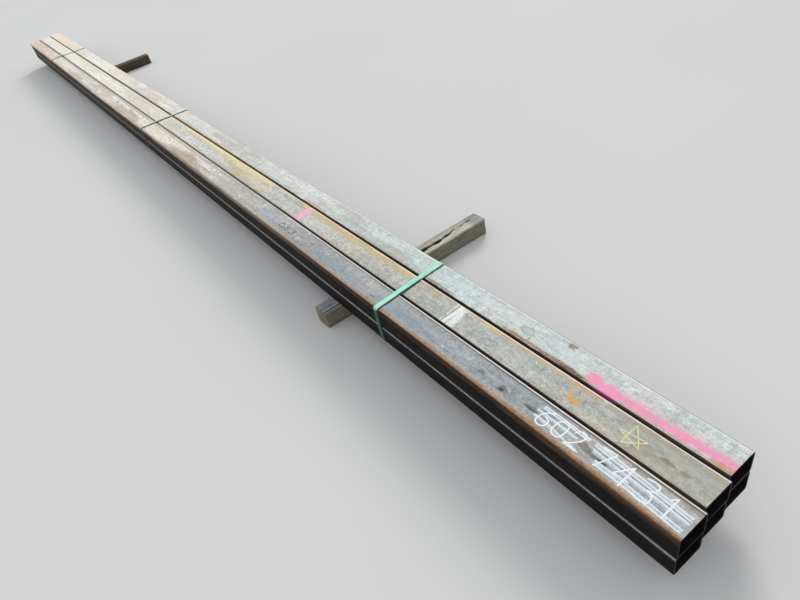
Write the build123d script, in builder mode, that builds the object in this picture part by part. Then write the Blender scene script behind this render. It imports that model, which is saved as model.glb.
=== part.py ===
"""Strapped bundle of six rectangular steel tubes, lying on two timber bearers.

Frame: X runs along the tubes, with the near end at +X. +Y is the right-hand side seen from the
near end. +Z is up. The origin is on the floor, under the middle of the bearers and of the tubes.
All sizes are in millimetres.
"""

import os

from build123d import *

os.makedirs("parts", exist_ok=True)

# Tubes: cold-formed rectangular hollow sections, lying flat
tube_length = 7315.0
tube_width = 101.6
tube_height = 76.2
tube_wall = 4.8
tube_outside_radius = 9.6

# How the tubes are stacked, row on row
side_gap = 0.8
layer_gap = 0.0

# How far each tube lies towards the near end, by row from the bottom and by column from the left
shifts_by_row = {
    "bottom": {"left": 7.0, "middle": -2.0, "right": -9.0},
    "top": {"left": 9.0, "middle": 0.0, "right": -9.0},
}

# Straps: flat bands round the whole bundle, with their ends lapped on the top
strap_width = 25.4
strap_thickness = 0.9
strap_clearance = 0.3
strap_lap_length = 92.0
near_strap_from_end = 1126.0
middle_strap_off_middle = -4.0
far_strap_from_end = 1054.0
near_lap_right_end = 42.0
middle_lap_right_end = 20.0
far_lap_right_end = -30.0

# Bearers: sawn timbers laid across under the bundle
bearer_width = 70.0
bearer_height = 75.0
bearer_edge_radius = 3.0
near_bearer_length = 800.0
far_bearer_length = 680.0
near_bearer_overhang = 72.0
far_bearer_set_in = 40.0
near_bearer_from_end = 1441.0
far_bearer_from_end = 1417.0

# Places that follow from the sizes above
tube_inside_radius = max(tube_outside_radius - tube_wall, 0.5)
side_pitch = tube_width + side_gap
layer_pitch = tube_height + layer_gap
bundle_width = 3 * tube_width + 2 * side_gap
bundle_height = 2 * tube_height + layer_gap
bundle_left = -near_bearer_length / 2 + near_bearer_overhang
bundle_y = bundle_left + bundle_width / 2
bundle_bottom = bearer_height
bundle_middle_z = bundle_bottom + bundle_height / 2
near_end = tube_length / 2
far_end = -tube_length / 2


def across(x, y, z):
    """Gives the plane square to the tubes through a point, with its own x to the right."""
    return Plane(origin=(x, y, z), x_dir=(0, 1, 0), z_dir=(1, 0, 0))


# Tubes, one node each, from the bottom left to the top right
column_offsets = {"left": -side_pitch, "middle": 0.0, "right": side_pitch}
for layer, (row, shifts) in enumerate(shifts_by_row.items()):
    tube_z = bundle_bottom + tube_height / 2 + layer * layer_pitch
    for column, shift in shifts.items():
        tube_y = bundle_y + column_offsets[column]
        with BuildPart() as tube:
            with BuildSketch(across(shift, tube_y, tube_z)):
                RectangleRounded(tube_width, tube_height, tube_outside_radius)
                RectangleRounded(
                    tube_width - 2 * tube_wall,
                    tube_height - 2 * tube_wall,
                    tube_inside_radius,
                    mode=Mode.SUBTRACT,
                )
            extrude(amount=tube_length / 2, both=True)
        tube.part.label = f"tube_{row}_{column}"
        export_step(tube.part, f"parts/tube_{row}_{column}.step")

# Straps, each a closed band with a second thickness along its lap
loop_width = bundle_width + 2 * strap_clearance
loop_height = bundle_height + 2 * strap_clearance
loop_radius = tube_outside_radius + strap_clearance
lap_middle_z = loop_height / 2 + strap_thickness
strap_places = {
    "strap_near": (near_end - near_strap_from_end, near_lap_right_end),
    "strap_middle": (middle_strap_off_middle, middle_lap_right_end),
    "strap_far": (far_end + far_strap_from_end, far_lap_right_end),
}
for strap_name, (strap_x, lap_right_end) in strap_places.items():
    with BuildPart() as strap:
        with BuildSketch(across(strap_x, bundle_y, bundle_middle_z)):
            RectangleRounded(
                loop_width + 2 * strap_thickness,
                loop_height + 2 * strap_thickness,
                loop_radius + strap_thickness,
            )
            RectangleRounded(loop_width, loop_height, loop_radius, mode=Mode.SUBTRACT)
            with Locations((lap_right_end - strap_lap_length / 2, lap_middle_z)):
                Rectangle(strap_lap_length, 2 * strap_thickness)
        extrude(amount=strap_width / 2, both=True)
    strap.part.label = strap_name
    export_step(strap.part, f"parts/{strap_name}.step")

# Bearers, each a sawn timber with worn long edges
near_bearer_y = 0.0
far_bearer_y = bundle_left + far_bearer_set_in + far_bearer_length / 2
bearer_places = {
    "bearer_near": (near_end - near_bearer_from_end, near_bearer_y, near_bearer_length),
    "bearer_far": (far_end + far_bearer_from_end, far_bearer_y, far_bearer_length),
}
for bearer_name, (bearer_x, bearer_y, bearer_length) in bearer_places.items():
    bearer_section = Plane(
        origin=(bearer_x, bearer_y, bearer_height / 2), x_dir=(-1, 0, 0), z_dir=(0, 1, 0)
    )
    with BuildPart() as bearer:
        with BuildSketch(bearer_section):
            RectangleRounded(bearer_width, bearer_height, bearer_edge_radius)
        extrude(amount=bearer_length / 2, both=True)
    bearer.part.label = bearer_name
    export_step(bearer.part, f"parts/{bearer_name}.step")
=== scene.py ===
"""Dresses a strapped bundle of rectangular steel tubes that lies on two timber bearers.

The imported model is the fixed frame, in metres. X runs along the tubes with the near end at +X,
+Y is the right-hand side seen from the near end, and +Z is up. Places on the tops of the tubes
are given in millimetres as (u, v): u is the distance back from the near end, and v is the
distance to the right of the middle of the bundle.
"""

import logging
import math
from dataclasses import dataclass, field
from enum import Enum, IntEnum
from typing import ClassVar

import bmesh
import bpy
from mathutils import Matrix, Vector, noise

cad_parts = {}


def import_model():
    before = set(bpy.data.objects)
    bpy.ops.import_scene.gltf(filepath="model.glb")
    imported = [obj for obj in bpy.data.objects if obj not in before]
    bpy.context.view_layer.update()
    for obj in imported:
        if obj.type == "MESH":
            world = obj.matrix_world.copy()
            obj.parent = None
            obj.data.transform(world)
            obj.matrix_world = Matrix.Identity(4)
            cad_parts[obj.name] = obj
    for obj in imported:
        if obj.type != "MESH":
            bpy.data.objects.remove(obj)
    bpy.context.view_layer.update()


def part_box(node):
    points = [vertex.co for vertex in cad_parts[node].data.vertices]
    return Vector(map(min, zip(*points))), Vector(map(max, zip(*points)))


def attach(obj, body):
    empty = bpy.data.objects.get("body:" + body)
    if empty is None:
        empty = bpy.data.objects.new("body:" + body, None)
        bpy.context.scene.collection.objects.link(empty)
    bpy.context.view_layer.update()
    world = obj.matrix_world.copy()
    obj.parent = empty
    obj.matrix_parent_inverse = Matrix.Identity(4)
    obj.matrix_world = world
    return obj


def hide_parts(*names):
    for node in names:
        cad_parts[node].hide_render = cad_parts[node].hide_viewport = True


LOG = logging.getLogger("bundle")
MM = 0.001
TUBE_WALL = 4.8 * MM
TUBE_CORNER = 9.6 * MM
BODY = "root"
SMOOTH_ANGLE = math.radians(35)
NOISE_LOW = 0.3
NOISE_HIGH = 0.7

Colour = tuple[float, float, float]
Point = tuple[float, float]
Socket = bpy.types.NodeSocket
Value = float | Socket


class Slot(Enum):
    """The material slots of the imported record."""

    STEEL = "tube_steel"
    STRAP = "strap_band"
    TIMBER = "bearer_timber"


class Side(IntEnum):
    """The sides of a tube, seen from the near end, as factors of Y."""

    LEFT = -1
    RIGHT = 1


# Shader graph helpers


class Pen:
    """Adds nodes to one new material and wires them.

    Attributes:
        material: The material.
        tree: Its node tree.
        shader: Its Principled shader.
        place: Object coordinates, with x, y and z as their parts.
        SHIFT_WAY: The way in which a shift moves through a noise.
    """

    SHIFT_WAY: ClassVar[tuple[float, float, float]] = (1.0, 1.7, 0.6)

    def __init__(self, name: str) -> None:
        """Starts a material with a Principled shader.

        Args:
            name: Name of the material.
        """
        self.material = bpy.data.materials.new(name)
        self.material.use_nodes = True
        self.tree = self.material.node_tree
        self.tree.nodes.clear()
        output = self.tree.nodes.new("ShaderNodeOutputMaterial")
        self.shader = self.tree.nodes.new("ShaderNodeBsdfPrincipled")
        self.tree.links.new(self.shader.outputs["BSDF"], output.inputs["Surface"])
        texture_place = self.tree.nodes.new("ShaderNodeTexCoord")
        self.place = texture_place.outputs["Object"]
        split = self.tree.nodes.new("ShaderNodeSeparateXYZ")
        self.tree.links.new(self.place, split.inputs["Vector"])
        self.x, self.y, self.z = split.outputs

    def feed(self, socket: Socket, value: object) -> None:
        """Links a socket to another one, or sets its own value.

        Args:
            socket: The input socket.
            value: A socket to link, or a plain value to set.
        """
        if isinstance(value, bpy.types.NodeSocket):
            self.tree.links.new(value, socket)
        elif isinstance(value, tuple) and len(value) == 3 and socket.type == "RGBA":
            socket.default_value = (*value, 1.0)
        else:
            socket.default_value = value

    def math(self, operation: str, *values: Value) -> Socket:
        """Adds a Math node.

        Args:
            operation: The node's operation.
            values: Its inputs, in order.

        Returns:
            The result socket.
        """
        node = self.tree.nodes.new("ShaderNodeMath")
        node.operation = operation
        for socket, value in zip(node.inputs, values):
            self.feed(socket, value)
        return node.outputs[0]

    def rise(self, value: Value, low: float, high: float) -> Socket:
        """Goes smoothly from 0 at low to 1 at high.

        Args:
            value: What is measured.
            low: Where the rise starts.
            high: Where it ends.

        Returns:
            The share from 0 to 1.
        """
        node = self.tree.nodes.new("ShaderNodeMapRange")
        node.interpolation_type = "SMOOTHSTEP"
        self.feed(node.inputs["Value"], value)
        self.feed(node.inputs["From Min"], low)
        self.feed(node.inputs["From Max"], high)
        return node.outputs["Result"]

    def fall(self, value: Value, low: float, high: float) -> Socket:
        """Goes smoothly from 1 at low to 0 at high."""
        return self.math("SUBTRACT", 1.0, self.rise(value, low, high))

    def band(self, value: Value, low: float, high: float, soft: float) -> Socket:
        """Is 1 between two values, with soft edges.

        Args:
            value: What is measured.
            low: Middle of the lower edge.
            high: Middle of the upper edge.
            soft: Half the width of each edge.

        Returns:
            The share from 0 to 1.
        """
        up = self.rise(value, low - soft, low + soft)
        return self.math("MULTIPLY", up, self.fall(value, high - soft, high + soft))

    def times(self, *values: Value) -> Socket:
        """Multiplies several values.

        Args:
            values: What is multiplied, two or more.

        Returns:
            The product.
        """
        result = values[0]
        for value in values[1:]:
            result = self.math("MULTIPLY", result, value)
        return result

    def clouds(
        self, scale: tuple[float, float, float], detail: float = 3.0, shift: float = 0.0
    ) -> Socket:
        """Adds a noise texture that is stretched along the axes.

        Args:
            scale: Repeats per metre along X, Y and Z.
            detail: The octaves of the noise.
            shift: Moves to another stretch of the noise.

        Returns:
            The noise, mostly from NOISE_LOW to NOISE_HIGH.
        """
        moved = self.tree.nodes.new("ShaderNodeVectorMath")
        moved.operation = "MULTIPLY_ADD"
        self.feed(moved.inputs[0], self.place)
        moved.inputs[1].default_value = scale
        moved.inputs[2].default_value = tuple(shift * way for way in self.SHIFT_WAY)
        node = self.tree.nodes.new("ShaderNodeTexNoise")
        self.feed(node.inputs["Vector"], moved.outputs[0])
        node.inputs["Scale"].default_value = 1.0
        node.inputs["Detail"].default_value = detail
        return node.outputs["Fac"]

    def mix(self, base: object, top: object, share: Value, blend: str = "MIX") -> Socket:
        """Lays one colour over another.

        Args:
            base: The colour below.
            top: The colour above.
            share: How much of the upper colour shows.
            blend: The node's blend mode.

        Returns:
            The mixed colour.
        """
        node = self.tree.nodes.new("ShaderNodeMix")
        node.data_type = "RGBA"
        node.blend_type = blend
        self.feed(node.inputs["Factor"], share)
        self.feed(node.inputs["A"], base)
        self.feed(node.inputs["B"], top)
        return node.outputs["Result"]

    def shade(self, base: object, amount: Socket, low: float, high: float) -> Socket:
        """Darkens and lightens a colour by a noise.

        Args:
            base: The colour.
            amount: A noise.
            low: Factor where the noise is NOISE_LOW.
            high: Factor where the noise is NOISE_HIGH.

        Returns:
            The shaded colour.
        """
        node = self.tree.nodes.new("ShaderNodeMapRange")
        self.feed(node.inputs["Value"], amount)
        self.feed(node.inputs["From Min"], NOISE_LOW)
        self.feed(node.inputs["From Max"], NOISE_HIGH)
        self.feed(node.inputs["To Min"], low)
        self.feed(node.inputs["To Max"], high)
        grey = self.tree.nodes.new("ShaderNodeCombineXYZ")
        for socket in grey.inputs:
            self.feed(socket, node.outputs["Result"])
        return self.mix(base, grey.outputs[0], 1.0, "MULTIPLY")

    def bump(self, height: Socket, distance: float, strength: float = 1.0) -> None:
        """Adds relief to the shader, on top of any relief that it has.

        Args:
            height: The height, 0 to 1.
            distance: What a height of 1 means, in metres.
            strength: Share of the effect.
        """
        node = self.tree.nodes.new("ShaderNodeBump")
        node.inputs["Strength"].default_value = strength
        node.inputs["Distance"].default_value = distance
        self.feed(node.inputs["Height"], height)
        if self.shader.inputs["Normal"].is_linked:
            earlier = self.shader.inputs["Normal"].links[0].from_socket
            self.feed(node.inputs["Normal"], earlier)
        self.feed(self.shader.inputs["Normal"], node.outputs["Normal"])

    def set(self, **values: object) -> None:
        """Sets or links the shader's sockets by name, with _ for a space.

        Args:
            values: The sockets' values.
        """
        for name, value in values.items():
            self.feed(self.shader.inputs[name.replace("_", " ")], value)


# Marks and stains on the tops of the tubes


@dataclass(frozen=True)
class Weather:
    """The places and noises that a tube's finish is worked out from.

    Attributes:
        u: Distance from the near end, in metres.
        v: Distance right of the middle of the bundle, in metres.
        cloud: Noise of a hand's length and more, drawn out along the tube.
        mottle: Noise of a finger's length.
        wobble: Noise of a finger's width.
        grain: Noise of a few millimetres.
        lines: Fine lines along the tube, as rolling leaves them.
        brush: Short scratches across the tube.
        SPECKS: Where the fine noise starts to carry a mark, and where it does so fully.
    """

    u: Socket
    v: Socket
    cloud: Socket
    mottle: Socket
    wobble: Socket
    grain: Socket
    lines: Socket
    brush: Socket

    SPECKS: ClassVar[Point] = (0.42, 0.58)

    def speckled(self, pen: Pen, shown: Socket, share: float) -> Socket:
        """Lets the steel show through a mark in fine specks.

        Args:
            pen: The material's nodes.
            shown: Where the mark shows.
            share: How much of it the specks take away.

        Returns:
            The share from 0 to 1.
        """
        specks = pen.math("MULTIPLY_ADD", pen.rise(self.grain, *self.SPECKS), share, 1.0 - share)
        return pen.times(shown, specks)


@dataclass(frozen=True)
class Stain:
    """A soft patch of rust, paint or dirt.

    Attributes:
        at: Its middle as (u, v), in millimetres.
        size: Its length and width, in millimetres.
        colour: Its colour.
        strength: How much it covers.
        ragged: How uneven its outline is.
        hollow: Share of its radius that stays clear, as in a ring.
        specks: How much of it is broken up by fine specks.
        LARGE: Length past which a coarser noise makes its outline uneven, in millimetres.
        SWING: How far the noise moves a fully ragged outline, in radii.
        SOFT: Half the width of its fading edge, in radii.
        RAGGED_SOFT: How much wider that is where the outline is fully ragged.
    """

    at: Point
    size: Point
    colour: Colour
    strength: float = 0.8
    ragged: float = 0.5
    hollow: float = 0.0
    specks: float = 0.4

    LARGE: ClassVar[float] = 150.0
    SWING: ClassVar[float] = 4.0
    SOFT: ClassVar[float] = 0.15
    RAGGED_SOFT: ClassVar[float] = 0.2

    def mask(self, pen: Pen, weather: Weather) -> Socket:
        """Gives where the patch shows.

        Args:
            pen: The material's nodes.
            weather: The tube's places and noises.

        Returns:
            The share from 0 to 1.
        """
        length, width = self.size
        along = pen.math("MULTIPLY_ADD", weather.u, 2 / (length * MM), -2 * self.at[0] / length)
        across = pen.math("MULTIPLY_ADD", weather.v, 2 / (width * MM), -2 * self.at[1] / width)
        squares = pen.math("MULTIPLY_ADD", along, along, pen.math("MULTIPLY", across, across))
        radius = pen.math("ADD", pen.math("SQRT", squares), -self.SWING / 2 * self.ragged)
        uneven = weather.mottle if length > self.LARGE else weather.wobble
        rough = pen.math("MULTIPLY_ADD", uneven, self.SWING * self.ragged, radius)
        edge = self.SOFT + self.RAGGED_SOFT * self.ragged
        shown = pen.fall(rough, 1.0 - edge, 1.0 + edge)
        if self.hollow > 0:
            shown = pen.times(shown, pen.rise(rough, self.hollow - edge, self.hollow + edge))
        return pen.times(weather.speckled(pen, shown, self.specks), self.strength)


@dataclass(frozen=True)
class Stripe:
    """A sprayed, brushed or rusty stripe, straight between two points.

    Attributes:
        start: Its first end as (u, v), in millimetres.
        end: Its other end.
        width: Its width, in millimetres.
        soft: Half the width of its fading edge, in millimetres.
        colour: Its colour.
        strength: How much it covers.
        broken: Share of it that is left bare, in patches.
        specks: How much of it is broken up by fine specks.
        SWING: How far the noise moves its long edges, in half widths of the fading edge.
        BARE_EDGE: Half the step of noise over which a bare patch starts.
    """

    start: Point
    end: Point
    width: float
    soft: float
    colour: Colour
    strength: float = 0.9
    broken: float = 0.0
    specks: float = 0.2

    SWING: ClassVar[float] = 4.0
    BARE_EDGE: ClassVar[float] = 0.06

    def mask(self, pen: Pen, weather: Weather) -> Socket:
        """Gives where the stripe shows.

        Args:
            pen: The material's nodes.
            weather: The tube's places and noises.

        Returns:
            The share from 0 to 1.
        """
        run = Vector(self.end) - Vector(self.start)
        way = run.normalized()
        first = Vector(self.start)
        side = Vector((-way.y, way.x))
        along = self._measure(pen, weather, way, first)
        across = self._measure(pen, weather, side, first)
        soft = self.soft * MM
        uneven = pen.math("MULTIPLY_ADD", weather.wobble, self.SWING * soft, -self.SWING / 2 * soft)
        across = pen.math("ABSOLUTE", pen.math("ADD", across, uneven))
        half = self.width / 2 * MM
        shown = pen.times(
            pen.fall(across, half - soft, half + soft),
            pen.band(along, 0.0, run.length * MM, max(soft, MM)),
            self.strength,
        )
        if self.broken > 0:
            bare = NOISE_LOW + (NOISE_HIGH - NOISE_LOW) * self.broken
            kept = pen.rise(weather.mottle, bare - self.BARE_EDGE, bare + self.BARE_EDGE)
            shown = pen.times(shown, kept)
        return weather.speckled(pen, shown, self.specks)

    @staticmethod
    def _measure(pen: Pen, weather: Weather, way: Vector, first: Vector) -> Socket:
        """Measures along a direction from the stripe's start, in metres."""
        rest = pen.math("MULTIPLY", weather.v, way.y)
        return pen.math("ADD", pen.math("MULTIPLY_ADD", weather.u, way.x, -way.dot(first) * MM), rest)


@dataclass(frozen=True)
class EdgeRust:
    """A band of rust along one long edge of a tube's top.

    Attributes:
        side: The edge.
        width: How far it reaches in from the corner, in millimetres.
        colour: Its main colour.
        deep: Its darker colour.
        near_strength: How much it covers at the near end.
        far_strength: How much it covers past the fading length.
        gaps: Share of the length that is nearly bare.
        fades: The length over which the strength changes, in millimetres.
        COARSE: How far the coarse noise moves its inner edge.
        FINE: How far the finer noise moves it.
        FADE: Where its inner edge starts to fade and is gone, from its width, in millimetres.
    """

    side: Side
    width: float
    colour: Colour
    deep: Colour
    near_strength: float
    far_strength: float
    gaps: float
    fades: float = 3500.0

    COARSE: ClassVar[float] = 22 * MM
    FINE: ClassVar[float] = 9 * MM
    FADE: ClassVar[Point] = (-6.0, 4.0)


# Finishes

RUST_ORANGE: Colour = (0.43, 0.19, 0.075)
RUST_SOFT: Colour = (0.43, 0.265, 0.165)
RUST_TAN: Colour = (0.47, 0.33, 0.19)
RUST_BROWN: Colour = (0.16, 0.088, 0.05)
SPRAY_PINK: Colour = (0.97, 0.375, 0.555)
SPRAY_ORANGE: Colour = (0.80, 0.43, 0.07)
MARKER_BLUE: Colour = (0.65, 0.79, 0.88)
# Painted shadow that the straps cast on the tops of the tubes.
STRAP_SHADOW: Colour = (0.06, 0.07, 0.055)
# Painted shade in the grooves between the tubes.
GAP_SHADE: Colour = (0.022, 0.017, 0.015)


@dataclass(frozen=True)
class TubeFinish:
    """Mill scale, weathered on top, with rust along the corners, for one tube; its dark sides, ends and
    inside are partly painted shade, and it carries painted sheen and highlights.

    Attributes:
        name: Name of the material.
        cool: Colour of the bluish scale on top, towards the near end.
        warm: Colour of the warmer, thinner scale there.
        far: Colour of the top towards the far end, paler and warmer as a painted sheen.
        seed: Moves to another stretch of the noise.
        edges: Bands of rust along the corners.
        marks: Stains and stripes on the top, laid on in order.
        sprayed: Marks that also run down over the corner, given a darker colour there as painted shade.
        highlight_strength: How strong the painted highlight on the right-hand upper corner is.
        rusty_side: How brown the sides are below the upper corner.
        covered: Whether another tube lies on it; then only a painted highlight line on its upper corner
            takes the colour of the top.
        corner_sheen: How strong the painted sheen is on the left and right upper corners of the far half.
        far_sheen_span: Where the painted sheen on the top starts and is full, in metres from the near
            end.
        flecks: Darkest and lightest factor of the flecks, a few millimetres long.
        uneven: Darkest and lightest factor of the patches, a finger wide.
        highlight_colour: Colour of the painted highlight on the corner.
        pink_tinge: Factor of the pinkish patches.
        blue_tinge: Factor of the bluish patches.
        corner_sheen_colour: Colour of the painted sheen on the corners.
        flank: Colour of the sides towards the near end: dark mill scale, darkened further as painted
            shade.
        flank_far: Colour of the sides towards the far end, where painted light makes them lighter.
        flank_brown: Colour of the rust on the sides.
        sawn: Colour of the sawn ends, near black as painted shade.
        bore: Colour of the inside: dark scale, near black as painted shade.
        light_edge: Depth below the top at which the colour of the top starts to give way.
        dark_edge: Depth at which the colour of the sides is full.
        covered_highlight: Greatest and least depth of the painted highlight line on a covered tube.
        spray_depth: Greatest and least depth of the sprayed marks on the corner.
        highlight_line: The painted highlight line's two edges, measured in from the side of the tube.
        highlight_depth: Where the painted highlight ends and is full, measured down from the top.
        highlight_until: Where the painted highlight starts to fade and is gone, in metres from the near
            end.
        corner_sheen_from: Where the painted sheen on the corners starts and is full, in metres from the
            near end.
        corner_sheen_rim: How far the painted sheen on the corners reaches down the sides.
        bore_rim: How far the colour of the inside reaches out over the cut wall.
        cut_depth: How far the colour of the sawn ends reaches along the tube, fading and full.
    """

    name: str
    cool: Colour
    warm: Colour
    far: Colour
    seed: float
    edges: tuple[EdgeRust, ...] = ()
    marks: tuple[Stain | Stripe, ...] = ()
    sprayed: tuple[Stain | Stripe, ...] = ()
    highlight_strength: float = 0.85
    rusty_side: float = 0.6
    covered: bool = False
    corner_sheen: Point = (0.6, 0.0)
    far_sheen_span: Point = (1.3, 5.6)
    flecks: Point = (0.80, 1.20)
    uneven: Point = (0.86, 1.14)

    highlight_colour: Colour = (0.95, 0.95, 0.93)
    pink_tinge: Colour = (1.04, 0.985, 0.95)
    blue_tinge: Colour = (0.94, 0.99, 1.03)
    corner_sheen_colour: Colour = (0.84, 0.735, 0.61)
    flank: Colour = (0.0100, 0.0090, 0.0090)
    flank_far: Colour = (0.052, 0.039, 0.029)
    flank_brown: Colour = (0.125, 0.073, 0.047)
    sawn: Colour = (0.022, 0.022, 0.025)
    bore: Colour = (0.012, 0.010, 0.010)
    light_edge: float = 0.7 * MM
    dark_edge: float = 1.8 * MM
    covered_highlight: Point = (8.5 * MM, 3.2 * MM)
    spray_depth: Point = (12 * MM, 0.5 * MM)
    highlight_line: Point = (9.0 * MM, 5.6 * MM)
    highlight_depth: Point = (3.5 * MM, 2.5 * MM)
    highlight_until: Point = (1.6, 3.0)
    corner_sheen_from: Point = (0.9, 5.1)
    corner_sheen_rim: float = 26 * MM
    bore_rim: float = 1.4 * MM
    cut_depth: Point = (0.5 * MM, 0.1 * MM)

    def build(self, tube: "Tube") -> bpy.types.Material:
        """Makes the material.

        Args:
            tube: The tube that wears it.

        Returns:
            The material.
        """
        pen = Pen(self.name)
        weather = Weather(
            u=pen.math("SUBTRACT", tube.end_plane, pen.x),
            v=pen.math("SUBTRACT", pen.y, tube.bundle_y),
            cloud=pen.clouds((1.3, 13.0, 13.0), 4.0, self.seed),
            mottle=pen.clouds((7.0, 34.0, 34.0), 5.0, self.seed + 3.1),
            wobble=pen.clouds((38.0, 70.0, 70.0), 4.0, self.seed + 7.7),
            grain=pen.clouds((170.0, 230.0, 230.0), 4.0, self.seed + 1.3),
            lines=pen.clouds((0.9, 330.0, 330.0), 2.0, self.seed + 5.9),
            brush=pen.clouds((75.0, 12.0, 12.0), 3.0, self.seed + 9.3),
        )
        on_top = pen.rise(pen.z, tube.top - self.dark_edge, tube.top - self.light_edge)
        # On a covered tube only a line on the upper corner takes the colour of the top, as a painted
        # highlight; its top keeps the colour of the sides.
        if self.covered:
            lowest, highest = self.covered_highlight
            on_top = pen.band(pen.z, tube.top - lowest, tube.top - highest, 1.2 * MM)
        flank = self._flank_colour(pen, weather, tube)
        colour = pen.mix(flank, self._top_colour(pen, weather, tube), on_top)
        # Painted highlight: a pale line along the right-hand upper corner.
        colour = pen.mix(colour, self.highlight_colour, self._corner_highlight(pen, weather, tube))
        lowest, highest = self.spray_depth
        on_corner = pen.band(pen.z, tube.top - lowest, tube.top - highest, 0.4 * MM)
        for mark in self.sprayed:
            colour = pen.mix(colour, mark.colour, pen.times(mark.mask(pen, weather), on_corner))
        # Painted shade: the inside takes a near-black colour over dark scale.
        colour = pen.mix(colour, pen.shade(self.bore, weather.mottle, 0.6, 1.5), self._inside(pen, tube))
        fading, full = self.cut_depth
        cut = pen.math(
            "MAXIMUM",
            pen.rise(pen.x, tube.near_x - fading, tube.near_x - full),
            pen.fall(pen.x, tube.far_x + full, tube.far_x + fading),
        )
        # Painted shade: the sawn ends are near black, with some rust.
        sawn = pen.shade(self.sawn, weather.wobble, 0.6, 1.5)
        sawn = pen.mix(sawn, RUST_BROWN, pen.times(pen.rise(weather.mottle, 0.5, 0.7), 0.5))
        colour = pen.mix(colour, sawn, cut)

        roughness = pen.math("MULTIPLY_ADD", weather.mottle, 0.35, 0.40)
        pen.set(Base_Color=colour, Metallic=0.05, Roughness=roughness, Specular_IOR_Level=0.045)
        pen.bump(weather.grain, 0.25 * MM, 0.4)
        pen.bump(weather.cloud, 2.0 * MM, 0.25)
        return pen.material

    def _inside(self, pen: Pen, tube: "Tube") -> Socket:
        """Gives where the inside of the tube is.

        Args:
            pen: The material's nodes.
            tube: The tube.

        Returns:
            The share from 0 to 1.
        """
        reach = TUBE_WALL - self.bore_rim
        aside = pen.math("ABSOLUTE", pen.math("SUBTRACT", pen.y, tube.middle.y))
        above = pen.math("ABSOLUTE", pen.math("SUBTRACT", pen.z, tube.middle.z))
        return pen.times(
            pen.fall(aside, tube.half.y - reach, tube.half.y - reach + MM),
            pen.fall(above, tube.half.z - reach, tube.half.z - reach + MM),
        )

    def _corner_highlight(self, pen: Pen, weather: Weather, tube: "Tube") -> Socket:
        """Gives where a painted highlight lies along the right-hand upper corner, a line of a few
        millimetres.

        Args:
            pen: The material's nodes.
            weather: The tube's places and noises.
            tube: The tube.

        Returns:
            The share from 0 to 1.
        """
        side = tube.middle.y + tube.half.y
        inner, outer = self.highlight_line
        line = pen.band(pen.y, side - inner, side - outer, 0.6 * MM)
        lowest, full = self.highlight_depth
        upper = pen.rise(pen.z, tube.top - lowest, tube.top - full)
        painted_light = pen.math("MULTIPLY_ADD", pen.rise(weather.mottle, 0.38, 0.52), 0.3, 0.7)
        fading = pen.fall(weather.u, *self.highlight_until)
        return pen.times(line, upper, painted_light, fading, self.highlight_strength)

    def _top_colour(self, pen: Pen, weather: Weather, tube: "Tube") -> Socket:
        """Gives the colour of the weathered top, with its rust and marks, and the painted sheen towards
        the far end.

        Args:
            pen: The material's nodes.
            weather: The tube's places and noises.
            tube: The tube.

        Returns:
            The colour.
        """
        colour = pen.mix(self.cool, self.warm, pen.rise(weather.cloud, 0.42, 0.58))
        # Painted sheen: towards the far end the top turns to the paler, warmer far colour.
        far_tone = pen.math("MULTIPLY_ADD", weather.cloud, 1.6, pen.math("ADD", weather.u, -0.8))
        colour = pen.mix(colour, self.far, pen.rise(far_tone, *self.far_sheen_span))
        tinge = pen.clouds((2.4, 16.0, 16.0), 4.0, self.seed + 13.3)
        colour = pen.mix(colour, self.pink_tinge, pen.rise(tinge, 0.50, 0.66), "MULTIPLY")
        colour = pen.mix(colour, self.blue_tinge, pen.fall(tinge, 0.34, 0.48), "MULTIPLY")
        colour = pen.shade(colour, weather.cloud, 0.90, 1.11)
        colour = pen.shade(colour, weather.mottle, 0.90, 1.10)
        colour = pen.shade(colour, weather.wobble, *self.uneven)
        colour = pen.shade(colour, weather.grain, *self.flecks)
        colour = pen.shade(colour, weather.lines, 0.88, 1.12)
        colour = pen.shade(colour, weather.brush, 0.92, 1.08)
        specks = pen.times(pen.rise(weather.grain, 0.61, 0.67), pen.rise(weather.mottle, 0.48, 0.56))
        colour = pen.mix(colour, RUST_BROWN, pen.times(specks, 0.5))
        for edge in self.edges:
            colour = self._edge_colour(pen, colour, edge, weather, tube)
        for mark in self.marks:
            colour = pen.mix(colour, mark.colour, mark.mask(pen, weather))
        colour = pen.shade(colour, weather.wobble, 0.94, 1.06)
        return pen.shade(colour, weather.grain, 0.92, 1.08)

    def _edge_colour(
        self, pen: Pen, colour: Socket, edge: EdgeRust, weather: Weather, tube: "Tube"
    ) -> Socket:
        """Lays one band of corner rust over the colour of the top.

        Args:
            pen: The material's nodes.
            colour: The colour so far.
            edge: The band.
            weather: The tube's places and noises.
            tube: The tube.

        Returns:
            The colour with the band.
        """
        corner = tube.middle.y + edge.side * tube.half.y
        inward = pen.math("MULTIPLY", pen.math("SUBTRACT", corner, pen.y), float(edge.side))
        for noise_part, swing in ((weather.mottle, edge.COARSE), (weather.wobble, edge.FINE)):
            inward = pen.math("MULTIPLY_ADD", pen.math("SUBTRACT", noise_part, 0.5), swing, inward)
        starts, ends = edge.FADE
        reach = pen.fall(inward, (edge.width + starts) * MM, (edge.width + ends) * MM)
        presence = pen.clouds((1.6, 0.4, 0.4), 3.0, self.seed + 11.0 * edge.side)
        shown = pen.rise(presence, 0.32 + 0.2 * edge.gaps, 0.42 + 0.22 * edge.gaps)
        along = pen.rise(weather.u, 0.0, edge.fades * MM)
        change = edge.far_strength - edge.near_strength
        strength = pen.math("MULTIPLY_ADD", along, change, edge.near_strength)
        rust = pen.mix(edge.colour, edge.deep, pen.rise(weather.wobble, 0.46, 0.68))
        rust = pen.shade(rust, weather.lines, 0.80, 1.15)
        rust = pen.shade(rust, weather.grain, 0.8, 1.2)
        return pen.mix(colour, rust, pen.times(reach, shown, strength))

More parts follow.
